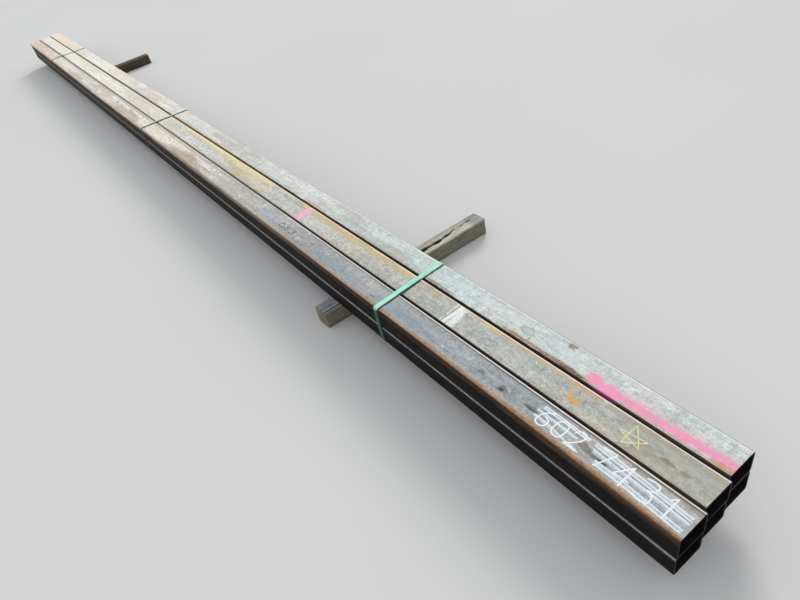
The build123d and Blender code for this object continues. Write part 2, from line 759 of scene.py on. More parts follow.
    def _flank_colour(self, pen: Pen, weather: Weather, tube: "Tube") -> Socket:
        """Gives the colour of the sides and underside: dark, partly as painted shade, browner near the
        upper corner, lighter towards the far end as painted light, with painted sheen on the far upper
        corners.

        Args:
            pen: The material's nodes.
            weather: The tube's places and noises.
            tube: The tube.

        Returns:
            The colour.
        """
        height = pen.math("MULTIPLY_ADD", pen.math("SUBTRACT", weather.mottle, 0.5), 26 * MM, pen.z)
        brown = pen.rise(height, tube.top - 30 * MM, tube.top + 2 * MM)
        patches = pen.math("MULTIPLY_ADD", pen.rise(weather.cloud, 0.40, 0.60), 0.5, 0.5)
        # Painted light: the sides turn lighter towards the far end.
        far_tone = pen.times(pen.rise(weather.u, 0.7, 5.6), 0.35 + 0.65 * self.rusty_side)
        colour = pen.mix(self.flank, self.flank_far, far_tone)
        colour = pen.mix(colour, self.flank_brown, pen.times(brown, patches, self.rusty_side))
        faint = pen.times(pen.rise(weather.mottle, 0.52, 0.66), 0.12)
        colour = pen.mix(colour, self.flank_brown, faint)
        # Painted sheen on the upper corners of the far half.
        rim = pen.rise(height, tube.top - self.corner_sheen_rim, tube.top)
        left, right = self.corner_sheen
        side = pen.rise(pen.y, tube.middle.y - 10 * MM, tube.middle.y + 10 * MM)
        side = pen.math("MULTIPLY_ADD", side, right - left, left)
        rim = pen.times(rim, pen.rise(weather.u, *self.corner_sheen_from), side)
        colour = pen.mix(colour, self.corner_sheen_colour, rim)
        colour = pen.shade(colour, weather.lines, 0.55, 1.5)
        return pen.shade(colour, weather.grain, 0.75, 1.25)


@dataclass(frozen=True)
class StrapFinish:
    """Green paint on thin steel band: a pale top lightened as a painted sheen, with painted shade down
    the sides and along the near edge.

    Attributes:
        name: Name of the material.
        paint: Colour of the paint on top, lightened as a painted sheen.
        faded: Colour of its faded patches.
        side: Colour of the paint down the sides, darkened as painted shade.
        dark: Colour of the painted shade along the near edge, and of the dark line at the lap's end.
        dark_edge: Width of the painted shade along the near side of the band.
        top_depth: How far down the colour of the sides is full, and that of the top.
        edge_depth: How far down the painted shade of the near edge is widest, and where it is still
            narrow.
        edge_fade: Width over which the painted shade of the near edge fades.
        lap_line: Where the dark line at the lap's end starts and stops, from the upper end.
    """

    name: str = "strap_green_paint"
    paint: Colour = (0.38, 0.86, 0.64)
    faded: Colour = (0.52, 0.94, 0.79)
    side: Colour = (0.050, 0.130, 0.088)
    dark: Colour = (0.010, 0.045, 0.032)
    dark_edge: float = 6.0 * MM
    top_depth: Point = (15 * MM, 3 * MM)
    edge_depth: Point = (12 * MM, 4 * MM)
    edge_fade: float = 1.5 * MM
    lap_line: Point = (-2.5 * MM, 0.5 * MM)

    def build(self, strap: "Strap") -> bpy.types.Material:
        """Makes the material.

        Args:
            strap: The strap that wears it.

        Returns:
            The material.
        """
        pen = Pen(self.name)
        patch = pen.clouds((60.0, 22.0, 22.0), 4.0, 2.0)
        fine = pen.clouds((500.0, 120.0, 120.0), 3.0, 4.0)
        colour = pen.mix(self.paint, self.faded, pen.rise(patch, 0.38, 0.60))
        colour = pen.shade(colour, fine, 0.90, 1.06)
        # Painted shade: the sides of the band take a deep green, the top the paler paint.
        side = pen.shade(self.side, patch, 0.6, 1.6)
        top = strap.high.z
        lowest, highest = self.top_depth
        colour = pen.mix(side, colour, pen.rise(pen.z, top - lowest, top - highest))
        # Painted shade along the near edge of the band, wider down the sides.
        aside = pen.math("SUBTRACT", pen.y, strap.bundle_y)
        along = pen.math("SUBTRACT", pen.x, strap.middle.x + strap.slid)
        across = pen.math("MULTIPLY_ADD", aside, -strap.lean, along)
        half = strap.width / 2
        lowest, highest = self.edge_depth
        on_side = pen.fall(pen.z, top - lowest, top - highest)
        wide = pen.math("MULTIPLY_ADD", on_side, self.dark_edge, across)
        edge = pen.rise(wide, half - self.dark_edge, half - self.dark_edge + self.edge_fade)
        colour = pen.mix(colour, self.dark, pen.times(edge, 0.95))
        starts, stops = self.lap_line
        lap_end = pen.band(aside, strap.lap_right + starts, strap.lap_right + stops, 0.5 * MM)
        colour = pen.mix(colour, self.dark, pen.times(lap_end, 0.45))
        pen.set(Base_Color=colour, Metallic=0.0, Roughness=pen.math("MULTIPLY_ADD", patch, 0.3, 0.3))
        pen.set(Specular_IOR_Level=0.15)
        pen.bump(fine, 0.05 * MM, 0.5)
        return pen.material


@dataclass(frozen=True)
class TimberFinish:
    """Rough sawn softwood: silvery on top, browner on its sides, with painted shade in its splits.

    Attributes:
        name: Name of the material.
        seed: Moves to another stretch of the noise.
        silver: Colour of the top at the left end.
        pale: Colour of the top at the right end.
        side: Colour of the sides at the right end.
        brown: Colour of the sides at the left end and in patches.
        dark: Colour of the painted shade in the splits, and of the darkest fibres.
        cut_end: Colour of the sawn ends, between the rings.
        tip: Colour of the top at the very right end.
        turns_pale: Length of the stretch left of the middle where the top turns pale.
        top_depth: How far down the colour of the sides is full, and that of the top.
        tip_reach: How far from the right end its own colour starts and is full.
        tip_depth: How far down that colour is gone, and where it is still full.
        pith_back: How far the heart of the log lies behind the timber's middle.
        pith_below: How far it lies below.
        rings_per_metre: Number of growth rings in a metre.
        split_rim: How far the dark of the splits keeps from the sides.
        split_depth: How far down the dark of the splits is full, and where it starts.
        split_floor: How far down that dark is gone, and where it is still full.
        split_ends: How far the dark of the splits keeps from the left and right end.
        sunk_reach: How far from the left end the top is sunk, and where that has ended.
        sunk: How far it is sunk.
    """

    name: str
    seed: float
    silver: Colour = (0.42, 0.455, 0.475)
    pale: Colour = (0.62, 0.585, 0.50)
    side: Colour = (0.245, 0.235, 0.165)
    brown: Colour = (0.245, 0.21, 0.15)

    dark: Colour = (0.042, 0.035, 0.027)
    cut_end: Colour = (0.30, 0.21, 0.12)
    tip: Colour = (0.27, 0.285, 0.28)
    pith_back: float = 18 * MM
    pith_below: float = 50 * MM
    rings_per_metre: float = 240.0
    turns_pale: float = 250 * MM
    top_depth: Point = (14 * MM, 1.0 * MM)
    tip_reach: Point = (80 * MM, 45 * MM)
    tip_depth: Point = (6 * MM, 2 * MM)
    split_rim: float = 6 * MM
    split_depth: Point = (4.5 * MM, 1.8 * MM)
    split_floor: Point = (40 * MM, 30 * MM)
    split_ends: Point = (18 * MM, 4 * MM)
    sunk_reach: Point = (150 * MM, 190 * MM)
    sunk: float = 3 * MM

    def build(self, timber: "Bearer") -> bpy.types.Material:
        """Makes the material.

        Args:
            timber: The timber that wears it.

        Returns:
            The material.
        """
        pen = Pen(self.name)
        high, middle_y = timber.high, timber.middle.y
        fibre = pen.clouds((190.0, 6.0, 190.0), 5.0, self.seed)
        broad = pen.clouds((42.0, 2.6, 42.0), 4.0, self.seed + 2.0)
        patch = pen.clouds((12.0, 9.0, 12.0), 4.0, self.seed + 4.0)
        to_right = pen.rise(pen.y, middle_y - self.turns_pale, middle_y)
        top = pen.mix(self.silver, self.pale, to_right)
        side = pen.mix(self.brown, self.side, to_right)
        side = pen.mix(side, self.brown, pen.rise(patch, 0.46, 0.66))
        lowest, highest = self.top_depth
        colour = pen.mix(side, top, pen.rise(pen.z, high.z - lowest, high.z - highest))
        colour = pen.shade(colour, broad, 0.70, 1.22)
        colour = pen.shade(colour, fibre, 0.60, 1.30)
        colour = pen.shade(colour, patch, 0.84, 1.12)
        colour = pen.shade(colour, pen.clouds((150.0, 110.0, 150.0), 4.0, self.seed + 6.0), 0.78, 1.20)
        colour = pen.mix(colour, self.dark, pen.times(pen.rise(fibre, 0.59, 0.68), 0.75))
        starts, full = self.tip_reach
        tip = pen.times(pen.rise(pen.y, high.y - starts, high.y - full), 0.75)
        lowest, highest = self.tip_depth
        on_top = pen.rise(pen.z, high.z - lowest, high.z - highest)
        colour = pen.mix(colour, pen.shade(self.tip, broad, 0.7, 1.3), pen.times(tip, on_top))
        colour = self._shade_splits(pen, colour, timber)
        colour = self._colour_ends(pen, colour, timber, broad, patch)
        pen.set(Base_Color=colour, Metallic=0.0, Roughness=0.85, Specular_IOR_Level=0.3)
        pen.bump(fibre, 1.4 * MM, 0.8)
        pen.bump(broad, 2.0 * MM, 0.4)
        return pen.material

    def _shade_splits(self, pen: Pen, colour: Socket, timber: "Bearer") -> Socket:
        """Paints shade over what lies below the top, inside the timber, where the splits open.

        Args:
            pen: The material's nodes.
            colour: The colour so far.
            timber: The timber.

        Returns:
            The colour with painted shade in the splits.
        """
        low, high, middle = timber.low, timber.high, timber.middle
        inside = timber.half.x - self.split_rim
        slope = -timber.skew / timber.half.y
        from_middle = pen.math("SUBTRACT", pen.y, middle.y)
        across = pen.math("MULTIPLY_ADD", from_middle, slope, pen.math("SUBTRACT", pen.x, middle.x))
        within = pen.fall(pen.math("ABSOLUTE", across), inside, inside + 2 * MM)
        sunk = pen.fall(pen.y, low.y + self.sunk_reach[0], low.y + self.sunk_reach[1])
        height = pen.math("MULTIPLY_ADD", sunk, self.sunk, pen.z)
        deep = pen.fall(height, high.z - self.split_depth[0], high.z - self.split_depth[1])
        above = pen.rise(pen.z, high.z - self.split_floor[0], high.z - self.split_floor[1])
        left, right = self.split_ends
        between = pen.band(pen.y, low.y + left, high.y - right, 4 * MM)
        return pen.mix(colour, self.dark, pen.times(within, deep, above, between, 0.9))

    def _colour_ends(
        self, pen: Pen, colour: Socket, timber: "Bearer", broad: Socket, patch: Socket
    ) -> Socket:
        """Lays growth rings and a browner colour on the sawn ends.

        Args:
            pen: The material's nodes.
            colour: The colour so far.
            timber: The timber.
            broad: Noise drawn out along the timber.
            patch: Noise in patches.

        Returns:
            The colour with the ends.
        """
        pith_x = pen.math("SUBTRACT", pen.x, timber.middle.x - self.pith_back)
        pith_z = pen.math("SUBTRACT", pen.z, timber.middle.z - self.pith_below)
        squares = pen.math("MULTIPLY_ADD", pith_x, pith_x, pen.math("MULTIPLY", pith_z, pith_z))
        radius = pen.math("MULTIPLY_ADD", broad, 6 * MM, pen.math("SQRT", squares))
        wave = pen.math("SINE", pen.math("MULTIPLY", radius, 2 * math.pi * self.rings_per_metre))
        rings = pen.math("MULTIPLY_ADD", wave, 0.5, 0.5)
        ends = pen.shade(pen.mix(self.cut_end, self.brown, pen.times(rings, 0.7)), patch, 0.7, 1.2)
        at_end = pen.math(
            "MAXIMUM",
            pen.fall(pen.y, timber.low.y + 1 * MM, timber.low.y + 5 * MM),
            pen.rise(pen.y, timber.high.y - 4 * MM, timber.high.y - 0.5 * MM),
        )
        return pen.mix(colour, ends, pen.times(at_end, 0.8))


@dataclass(frozen=True)
class FilmFinish:
    """A thin film of marker paint or crayon that lets some steel show through.

    Attributes:
        name: Name of the material.
        paint: Colour of the film.
        steel: Colour that shows through its gaps.
        bare: How much of it has gaps.
        roughness: Roughness of the film.
    """

    name: str
    paint: Colour
    steel: Colour
    bare: float
    roughness: float = 0.55

    def build(self) -> bpy.types.Material:
        """Makes the material.

        Returns:
            The material.
        """
        pen = Pen(self.name)
        streak = pen.clouds((60.0, 520.0, 50.0), 4.0, 1.0)
        patch = pen.clouds((38.0, 38.0, 38.0), 3.0, 6.0)
        cover = pen.math("MULTIPLY_ADD", patch, 0.5, streak)
        gaps = pen.rise(cover, 0.95 - self.bare, 1.05 - self.bare)
        colour = pen.mix(self.paint, self.steel, gaps)
        pen.set(Base_Color=colour, Metallic=0.0, Roughness=self.roughness)
        return pen.material


@dataclass(frozen=True)
class FloorFinish:
    """A plain pale studio floor.

    Attributes:
        name: Name of the material.
        tone: Colour of the floor.
    """

    name: str = "studio_floor"
    tone: Colour = (0.74, 0.735, 0.72)

    def build(self) -> bpy.types.Material:
        """Makes the material.

        Returns:
            The material.
        """
        pen = Pen(self.name)
        tone = pen.shade(self.tone, pen.clouds((0.5, 0.5, 0.5), 2.0), 0.98, 1.02)
        pen.set(Base_Color=tone, Roughness=0.9)
        return pen.material


# Helpers for pieces


@dataclass
class CadNode:
    """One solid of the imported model, with its corners.

    Attributes:
        node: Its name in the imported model.
        low: Its lowest corner.
        high: Its highest corner.
    """

    node: str
    low: Vector = field(init=False)
    high: Vector = field(init=False)

    def __post_init__(self) -> None:
        """Reads the corners from the frame."""
        self.low, self.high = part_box(self.node)

    @property
    def middle(self) -> Vector:
        """The middle of its box."""
        return (self.low + self.high) / 2

    @property
    def half(self) -> Vector:
        """Half its size along each axis."""
        return (self.high - self.low) / 2


def add_piece(
    name: str, mesh: bmesh.types.BMesh, material: bpy.types.Material
) -> bpy.types.Object:
    """Makes a finished object from a bmesh that is already in place.

    Args:
        name: Name of the piece.
        mesh: Its mesh, freed here.
        material: Its finish.

    Returns:
        The object, riding on the bundle.
    """
    bmesh.ops.recalc_face_normals(mesh, faces=mesh.faces)
    data = bpy.data.meshes.new(name)
    mesh.to_mesh(data)
    mesh.free()
    data.shade_smooth()
    data.set_sharp_from_angle(angle=SMOOTH_ANGLE)
    piece = bpy.data.objects.new(name, data)
    bpy.context.scene.collection.objects.link(piece)
    data.materials.append(material)
    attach(piece, BODY)
    return piece


# Tubes


@dataclass
class Tube(CadNode):
    """One tube of the bundle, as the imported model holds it.

    Attributes:
        bundle_y: The middle of the bundle.
        end_plane: The X from which u is measured.
    """

    bundle_y: float
    end_plane: float

    @property
    def top(self) -> float:
        """Height of the tube's upper face."""
        return self.high.z

    @property
    def near_x(self) -> float:
        """Place of the near end."""
        return self.high.x

    @property
    def far_x(self) -> float:
        """Place of the far end."""
        return self.low.x

    def dress(self, finish: TubeFinish) -> bpy.types.Object:
        """Gives the CAD node its finish.

        Args:
            finish: The tube's finish.

        Returns:
            The node.
        """
        node = bpy.data.objects[self.node]
        node.data.materials.clear()
        node.data.materials.append(finish.build(self))
        return node


NEAR_EDGE = -20.0
FAR_EDGE = 7345.0


def strap_shadows(left: float, right: float) -> tuple[Stripe, Stripe]:
    """Lists the painted shadows that the near and the middle strap cast on one tube.

    Args:
        left: The tube's left side, as v in millimetres.
        right: Its right side.

    Returns:
        The two lines.
    """
    near_u, near_lean = 1112.4, 0.036
    middle_u, middle_lean = 3639.0, -0.0787
    ends = (left, right)
    near = [(near_u + near_lean * v, v) for v in ends]
    middle = [(middle_u + middle_lean * v, v) for v in ends]
    # Both lines are painted shadows of the straps.
    return Stripe(*near, 8, 1.5, STRAP_SHADOW, 0.92), Stripe(*middle, 12, 2.0, STRAP_SHADOW, 0.9)


def left_marks() -> tuple[Stain | Stripe, ...]:
    """Lists the marks on the left tube of the upper row.

    Returns:
        The marks, in the order in which they are laid on.
    """
    return (
        Stripe((NEAR_EDGE, -63.7), (700, -63.7), 5.5, 1.3, (0.10, 0.10, 0.095), 0.75),
        Stripe((680, -63.7), (1700, -63.7), 5, 1.4, (0.20, 0.195, 0.18), 0.50, 0.2),
        Stain((1010, -110), (330, 48), (0.31, 0.385, 0.44), 0.65, 0.5),
        Stain((1400, -112), (380, 46), (0.33, 0.40, 0.46), 0.6, 0.6),
        Stain((1980, -108), (200, 50), (0.38, 0.44, 0.52), 0.6, 0.5),
        Stain((780, -95), (230, 30), (0.52, 0.56, 0.60), 0.45, 0.7),
        Stain((1230, -90), (200, 22), (0.60, 0.64, 0.68), 0.4, 0.7),
        Stain((1720, -100), (260, 44), (0.30, 0.31, 0.30), 0.5, 0.7),
        Stain((2330, -100), (300, 40), (0.62, 0.58, 0.50), 0.5, 0.7),
        Stain((2920, -128), (520, 56), (0.42, 0.33, 0.19), 0.70, 0.7),
        Stain((2985, -104), (170, 54), (0.46, 0.37, 0.22), 0.55, 0.5),
        Stain((4080, -124), (560, 62), (0.48, 0.35, 0.24), 0.60, 0.8),
        Stain((4700, -96), (520, 60), (0.54, 0.43, 0.32), 0.50, 0.9),
        Stain((3560, -96), (300, 40), (0.74, 0.71, 0.64), 0.5, 0.7),
        Stain((5500, -130), (500, 50), (0.50, 0.38, 0.27), 0.5, 0.8),
        Stain((6900, -118), (1000, 90), (0.80, 0.58, 0.43), 0.8, 0.8),
        *strap_shadows(-152, -52),
        Stain((560, -112), (36, 25), (0.20, 0.185, 0.15), 0.85, 0.35),
        Stain((563, -114), (18, 11), (0.055, 0.05, 0.045), 0.85, 0.35),
        Stain((460, -107), (58, 15), (0.17, 0.17, 0.14), 0.85, 0.3),
        Stain((456, -109), (36, 7), (0.05, 0.05, 0.045), 0.8, 0.3),
        Stain((280, -105), (40, 22), (0.20, 0.165, 0.12), 0.8, 0.4),
        Stain((236, -112), (50, 12), (0.07, 0.065, 0.06), 0.85, 0.35),
        Stain((650, -107), (30, 13), (0.16, 0.16, 0.13), 0.75, 0.35),
        Stain((815, -115), (18, 10), (0.72, 0.75, 0.76), 0.7, 0.4),
        # Painted shade: a soft darker band along the right-hand corner in the far part.
        Stripe((2100, -70), (FAR_EDGE, -66), 15, 5, (0.42, 0.38, 0.32), 0.6, 0.2),
        # Painted shade in the groove towards the middle tube.
        Stripe((1900, -53.5), (FAR_EDGE, -58), 6.5, 1.2, GAP_SHADE, 0.9),
        Stain((710, -92), (12, 22), (0.66, 0.66, 0.64), 0.5, 0.5),
        Stain((1180, -122), (30, 7), (0.10, 0.10, 0.10), 0.6, 0.4),
        Stain((148, -70), (44, 9), (0.20, 0.14, 0.10), 0.5, 0.5),
        Stain((30, -72), (56, 12), (0.26, 0.19, 0.13), 0.5, 0.5),
        Stain((1097, -141), (15, 11), (0.62, 0.15, 0.16), 0.7, 0.35),
        Stripe((1728, -128), (1722, -108), 5, 1.5, (0.80, 0.82, 0.82), 0.8, 0.3),
        Stripe((270, -79), (0, -92), 11, 1.6, MARKER_BLUE, 0.85, 0.0, 0.3),
        Stripe((262, -98), (0, -108), 9, 2.0, MARKER_BLUE, 0.75, 0.0, 0.3),
        Stripe((242, -121), (2, -131), 12, 1.8, MARKER_BLUE, 0.85, 0.0, 0.3),
        Stripe((436, -78), (284, -80), 8, 1.6, MARKER_BLUE, 0.80, 0.0, 0.3),
        Stripe((444, -97), (310, -100), 7, 1.6, MARKER_BLUE, 0.75, 0.0, 0.3),
        Stripe((440, -115), (290, -127), 8, 1.6, MARKER_BLUE, 0.80, 0.0, 0.3),
    )


def middle_marks() -> tuple[Stain | Stripe, ...]:
    """Lists the marks on the middle tube of the upper row.

    Returns:
        The marks, in the order in which they are laid on.
    """
    return (
        Stripe((NEAR_EDGE, -42), (420, -42), 3, 1.0, (0.20, 0.20, 0.18), 0.4, 0.35),
        Stripe((1120, 33), (1930, 34), 26, 6, (0.66, 0.52, 0.29), 0.90, 0.10),
        Stripe((1150, 40), (1900, 40), 9, 3, (0.88, 0.62, 0.22), 0.85, 0.35),
        Stripe((1900, 37), (2280, 36), 17, 5, (0.84, 0.70, 0.42), 0.85, 0.15),
        Stripe((2220, 34), (3100, 33), 27, 8, (0.85, 0.745, 0.50), 0.85, 0.2),
        Stripe((3050, 36), (3480, 37), 20, 7, (0.85, 0.745, 0.50), 0.7, 0.3),
        Stripe((2250, 39), (3350, 38), 14, 4, (1.0, 0.84, 0.42), 0.90, 0.2),
        Stripe((3350, 38), (6300, 38), 17, 5, (0.90, 0.83, 0.60), 0.85, 0.2),
        Stripe((3800, 22), (6300, 22), 14, 6, (0.70, 0.64, 0.50), 0.4, 0.3),
        Stripe((NEAR_EDGE, 35), (330, 35), 20, 6, (0.42, 0.345, 0.25), 0.65, 0.2),
        Stripe((340, 30), (760, 30), 18, 6, (0.46, 0.41, 0.29), 0.55, 0.4),
        *strap_shadows(-52, 52),
        Stripe((340, 42), (760, 42), 10, 3.5, (0.68, 0.42, 0.15), 0.75, 0.4),
        Stripe((730, 40), (860, 41), 12, 4, (0.70, 0.58, 0.16), 0.7, 0.4),
        Stripe((990, 40), (1120, 40), 15, 4, (0.70, 0.44, 0.17), 0.8, 0.3),
        Stain((1030, 28), (60, 16), (0.64, 0.44, 0.22), 0.6, 0.6),
        Stripe((120, 41), (205, 41), 9, 3, (0.55, 0.40, 0.20), 0.65, 0.3),
        Stripe((0, 43), (120, 43), 5, 2, (0.52, 0.38, 0.20), 0.5, 0.3),
        Stain((2470, 6), (420, 118), (0.86, 0.68, 0.42), 0.65, 0.9),
        Stain((2560, -14), (200, 60), (0.56, 0.42, 0.25), 0.5, 0.8),
        Stain((4130, 0), (460, 110), (0.78, 0.64, 0.43), 0.6, 0.9),
        Stain((3950, -6), (700, 90), (0.88, 0.82, 0.68), 0.5, 0.5),
        # Painted sheen: a paler, warmer patch at the far end.
        Stain((6900, 0), (1500, 130), (0.93, 0.86, 0.73), 0.7, 0.4),
        Stain((3400, -16), (340, 50), (0.66, 0.62, 0.55), 0.5, 0.8),
        Stain((1490, -2), (62, 38), (0.76, 0.68, 0.52), 0.7, 0.5),
        Stain((1745, -2), (76, 36), (0.76, 0.72, 0.62), 0.65, 0.5),
        Stain((1600, -18), (22, 7), (0.82, 0.84, 0.82), 0.7, 0.3),
        Stripe((1869, 44), (1869, -47), 44, 3.5, (1.0, 0.53, 0.66), 0.92),
        Stripe((917, 46), (913, -48), 5, 1.2, (0.82, 0.80, 0.74), 0.9, 0.35),
        Stain((120, 0), (440, 110), (0.40, 0.385, 0.325), 0.5, 0.7),
        Stripe((897, 44), (897, -48), 13, 1.6, (0.97, 0.97, 0.96), 0.97, 0.1),
        Stripe((884, 40), (868, -46), 28, 7, (0.95, 0.96, 0.95), 0.9, 0.3),
        Stripe((426, 38), (420, -6), 8, 3.6, (0.62, 0.44, 0.22), 0.60),
        Stripe((384, 38), (380, -2), 7, 3.2, (0.62, 0.46, 0.25), 0.50),
        Stripe((421, 6), (417, -9), 13, 4.0, SPRAY_ORANGE, 0.85, 0.0, 0.4),
        Stripe((418, -8), (380, -8), 14, 4.5, SPRAY_ORANGE, 0.92, 0.0, 0.4),
        Stain((394, -14), (30, 12), SPRAY_ORANGE, 0.7, 0.3),
        Stripe((436, 38), (345, 38), 12, 3.5, (0.66, 0.40, 0.15), 0.85, 0.0, 0.4),
        Stain((352, 47), (66, 9), SPRAY_PINK, 0.85, 0.2),
        Stain((122, -7), (52, 13), (0.27, 0.20, 0.13), 0.75, 0.45),
        Stain((72, -7), (34, 12), (0.27, 0.19, 0.13), 0.7, 0.45),
        Stain((180, -14), (60, 34), (0.33, 0.27, 0.19), 0.5, 0.6),
        Stain((640, 5), (120, 40), (0.60, 0.63, 0.60), 0.4, 0.7),
        Stain((760, -24), (90, 14), (0.28, 0.27, 0.23), 0.4, 0.7),
    )


def right_marks() -> tuple[Stain | Stripe, ...]:
    """Lists the marks on the right tube of the upper row.

    Returns:
        The marks, in the order in which they are laid on.
    """
    return (
        # Painted shade in the groove towards the middle tube, along the left-hand corner.
        Stripe((NEAR_EDGE, 54.8), (FAR_EDGE, 54.8), 6.0, 0.7, GAP_SHADE, 0.95),
        Stripe((2000, 53.5), (FAR_EDGE, 54.5), 9, 1.0, GAP_SHADE, 0.9),
        Stripe((1160, 65), (2250, 66), 12, 5, (0.50, 0.36, 0.23), 0.75, 0.5),
        Stripe((2250, 64), (3600, 64), 12, 5, (0.62, 0.50, 0.37), 0.6, 0.3),
        *strap_shadows(52, 153),
        Stripe((2100, 142), (3800, 142), 12, 4, (0.55, 0.49, 0.41), 0.5, 0.3),
        Stripe((1500, 105), (1200, 104), 22, 5, (0.76, 0.82, 0.86), 0.6, 0.5),
        Stripe((1480, 124), (1250, 122), 9, 3, (0.80, 0.84, 0.86), 0.5, 0.5),
        Stripe((1120, 112), (930, 108), 30, 7, (0.70, 0.78, 0.78), 0.6, 0.45),
        Stripe((880, 118), (480, 110), 34, 8, (0.68, 0.76, 0.77), 0.6, 0.4),
        Stain((1290, 84), (180, 26), (0.46, 0.40, 0.35), 0.5, 0.8),
        Stain((2010, 60), (46, 18), (0.84, 0.84, 0.82), 0.8, 0.4),
        Stain((1700, 120), (300, 50), (0.46, 0.42, 0.36), 0.45, 0.8),
        Stain((2800, 100), (600, 60), (0.56, 0.46, 0.34), 0.45, 0.9),
        Stain((4200, 110), (700, 70), (0.60, 0.48, 0.36), 0.45, 0.9),
        Stain((6800, 110), (1300, 110), (0.97, 0.80, 0.61), 0.75, 0.5),
        Stain((1480, 82), (900, 28), (0.56, 0.53, 0.46), 0.5, 0.6),
        Stain((560, 64), (250, 15), (0.27, 0.155, 0.08), 0.92, 0.6),
        Stain((480, 62), (90, 9), (0.14, 0.085, 0.05), 0.85, 0.5),
        Stain((690, 63), (130, 11), (0.42, 0.20, 0.09), 0.85, 0.5),
        Stripe((740, 66), (600, 68), 6, 2.5, (0.46, 0.27, 0.14), 0.6, 0.4),
        Stain((1055, 64), (120, 12), (0.30, 0.165, 0.10), 0.8, 0.5),
        Stain((666, 98), (56, 32), (0.33, 0.31, 0.21), 0.75, 0.3, 0.66),
        Stain((664, 98), (34, 18), (0.48, 0.49, 0.42), 0.5, 0.4),
        Stripe((644, 88), (643, 70), 5, 1.4, (0.36, 0.27, 0.16), 0.8),
        Stain((527, 136), (30, 24), (0.30, 0.20, 0.13), 0.85, 0.5),
        Stain((528, 121), (20, 9), (0.84, 0.84, 0.82), 0.7, 0.3),
        Stripe((402, 148), (398, 96), 6, 2.4, (0.42, 0.45, 0.44), 0.5, 0.3),
        Stripe((347, 130), (345, 92), 5, 2.0, (0.40, 0.44, 0.43), 0.45, 0.3),
        Stripe((291, 140), (289, 96), 5, 2.4, (0.44, 0.47, 0.46), 0.45, 0.4),
        Stripe((148, 142), (144, 98), 8, 3.0, (0.42, 0.44, 0.43), 0.5, 0.3),
        Stripe((46, 142), (44, 104), 7, 3.0, (0.42, 0.44, 0.43), 0.45, 0.4),
        Stripe((414, 92), (406, 126), 16, 6, SPRAY_PINK, 0.30, 0.0, 0.7),
        Stripe((380, 79), (-30, 88), 36, 9, SPRAY_PINK, 0.42, 0.0, 0.5),
        Stripe((352, 76), (150, 77), 22, 5, SPRAY_PINK, 0.97, 0.0, 0.05),
        Stripe((160, 77), (-30, 84), 23, 5, SPRAY_PINK, 0.97, 0.0, 0.05),
        Stain((404, 81), (50, 38), SPRAY_PINK, 0.96, 0.15, 0.0, 0.05),
        Stain((354, 71), (64, 44), SPRAY_PINK, 0.96, 0.10, 0.0, 0.05),
        Stain((66, 67), (40, 7), (0.66, 0.69, 0.70), 0.8, 0.4),
        Stain((30, 66), (66, 15), (0.62, 0.31, 0.13), 0.85, 0.4),
    )


def tube_finishes() -> dict[str, TubeFinish]:
    """Lists the finish of each tube, with the marks that each one carries.

    Returns:
        The finishes by CAD node, in the order in which the tubes are dressed.
    """
    lower_scale = ((0.29, 0.285, 0.29), (0.28, 0.275, 0.28), (0.19, 0.18, 0.17))
    lower_edge = {"rusty_side": 0.3, "covered": True, "corner_sheen": (0.08, 0.08)}
    return {
        "tube_top_left": TubeFinish(
            "steel_top_left",
            cool=(0.375, 0.41, 0.425),
            warm=(0.435, 0.435, 0.42),
            far=(0.86, 0.80, 0.715),
            seed=4.0,
            edges=(
                EdgeRust(Side.LEFT, 24, (0.58, 0.44, 0.32), (0.42, 0.30, 0.21), 0.70, 0.12, 0.0),
                EdgeRust(Side.LEFT, 15, RUST_ORANGE, RUST_BROWN, 0.74, 0.0, 0.05, 1800.0),
                EdgeRust(Side.LEFT, 13, RUST_SOFT, (0.28, 0.20, 0.14), 0.58, 0.12, 0.05),
                EdgeRust(Side.RIGHT, 14, (0.34, 0.32, 0.29), (0.20, 0.18, 0.155), 0.55, 0.2, 0.35),
            ),
            marks=left_marks(),
            rusty_side=1.0,
            corner_sheen=(1.0, 0.0),
            far_sheen_span=(1.6, 3.4),
        ),
        "tube_top_middle": TubeFinish(
            "steel_top_middle",
            cool=(0.50, 0.525, 0.49),
            warm=(0.535, 0.535, 0.48),
            far=(0.95, 0.92, 0.84),
            seed=17.0,
            edges=(
                EdgeRust(Side.RIGHT, 14, RUST_TAN, RUST_BROWN, 0.35, 0.35, 0.4),
                EdgeRust(Side.LEFT, 9, RUST_TAN, RUST_BROWN, 0.20, 0.10, 0.5),
            ),
            marks=middle_marks(),
            corner_sheen=(1.0, 0.0),
            flecks=(0.77, 1.23),
            uneven=(0.89, 1.11),
        ),
        "tube_top_right": TubeFinish(
            "steel_top_right",
            cool=(0.65, 0.73, 0.715),
            warm=(0.63, 0.655, 0.62),
            far=(0.955, 0.905, 0.82),
            seed=29.0,
            edges=(
                EdgeRust(Side.LEFT, 17, RUST_TAN, RUST_BROWN, 0.40, 0.22, 0.6),
                EdgeRust(Side.RIGHT, 10, (0.47, 0.43, 0.37), RUST_BROWN, 0.5, 0.4, 0.5),
            ),
            marks=right_marks(),
            # The pink spray where it runs down the left-hand corner, in a darker colour as painted shade.
            sprayed=(Stain((353, 62), (76, 52), (0.30, 0.055, 0.16), 0.95, 0.08, 0.0, 0.05),),
            corner_sheen=(0.3, 0.6),
            flecks=(0.86, 1.14),
            uneven=(0.92, 1.08),
            far_sheen_span=(0.9, 5.2),
        ),
        "tube_bottom_left": TubeFinish("steel_bottom_left", *lower_scale, 41.0, **lower_edge),
        "tube_bottom_middle": TubeFinish("steel_bottom_middle", *lower_scale, 53.0, **lower_edge),
        "tube_bottom_right": TubeFinish("steel_bottom_right", *lower_scale, 67.0, **lower_edge),
    }


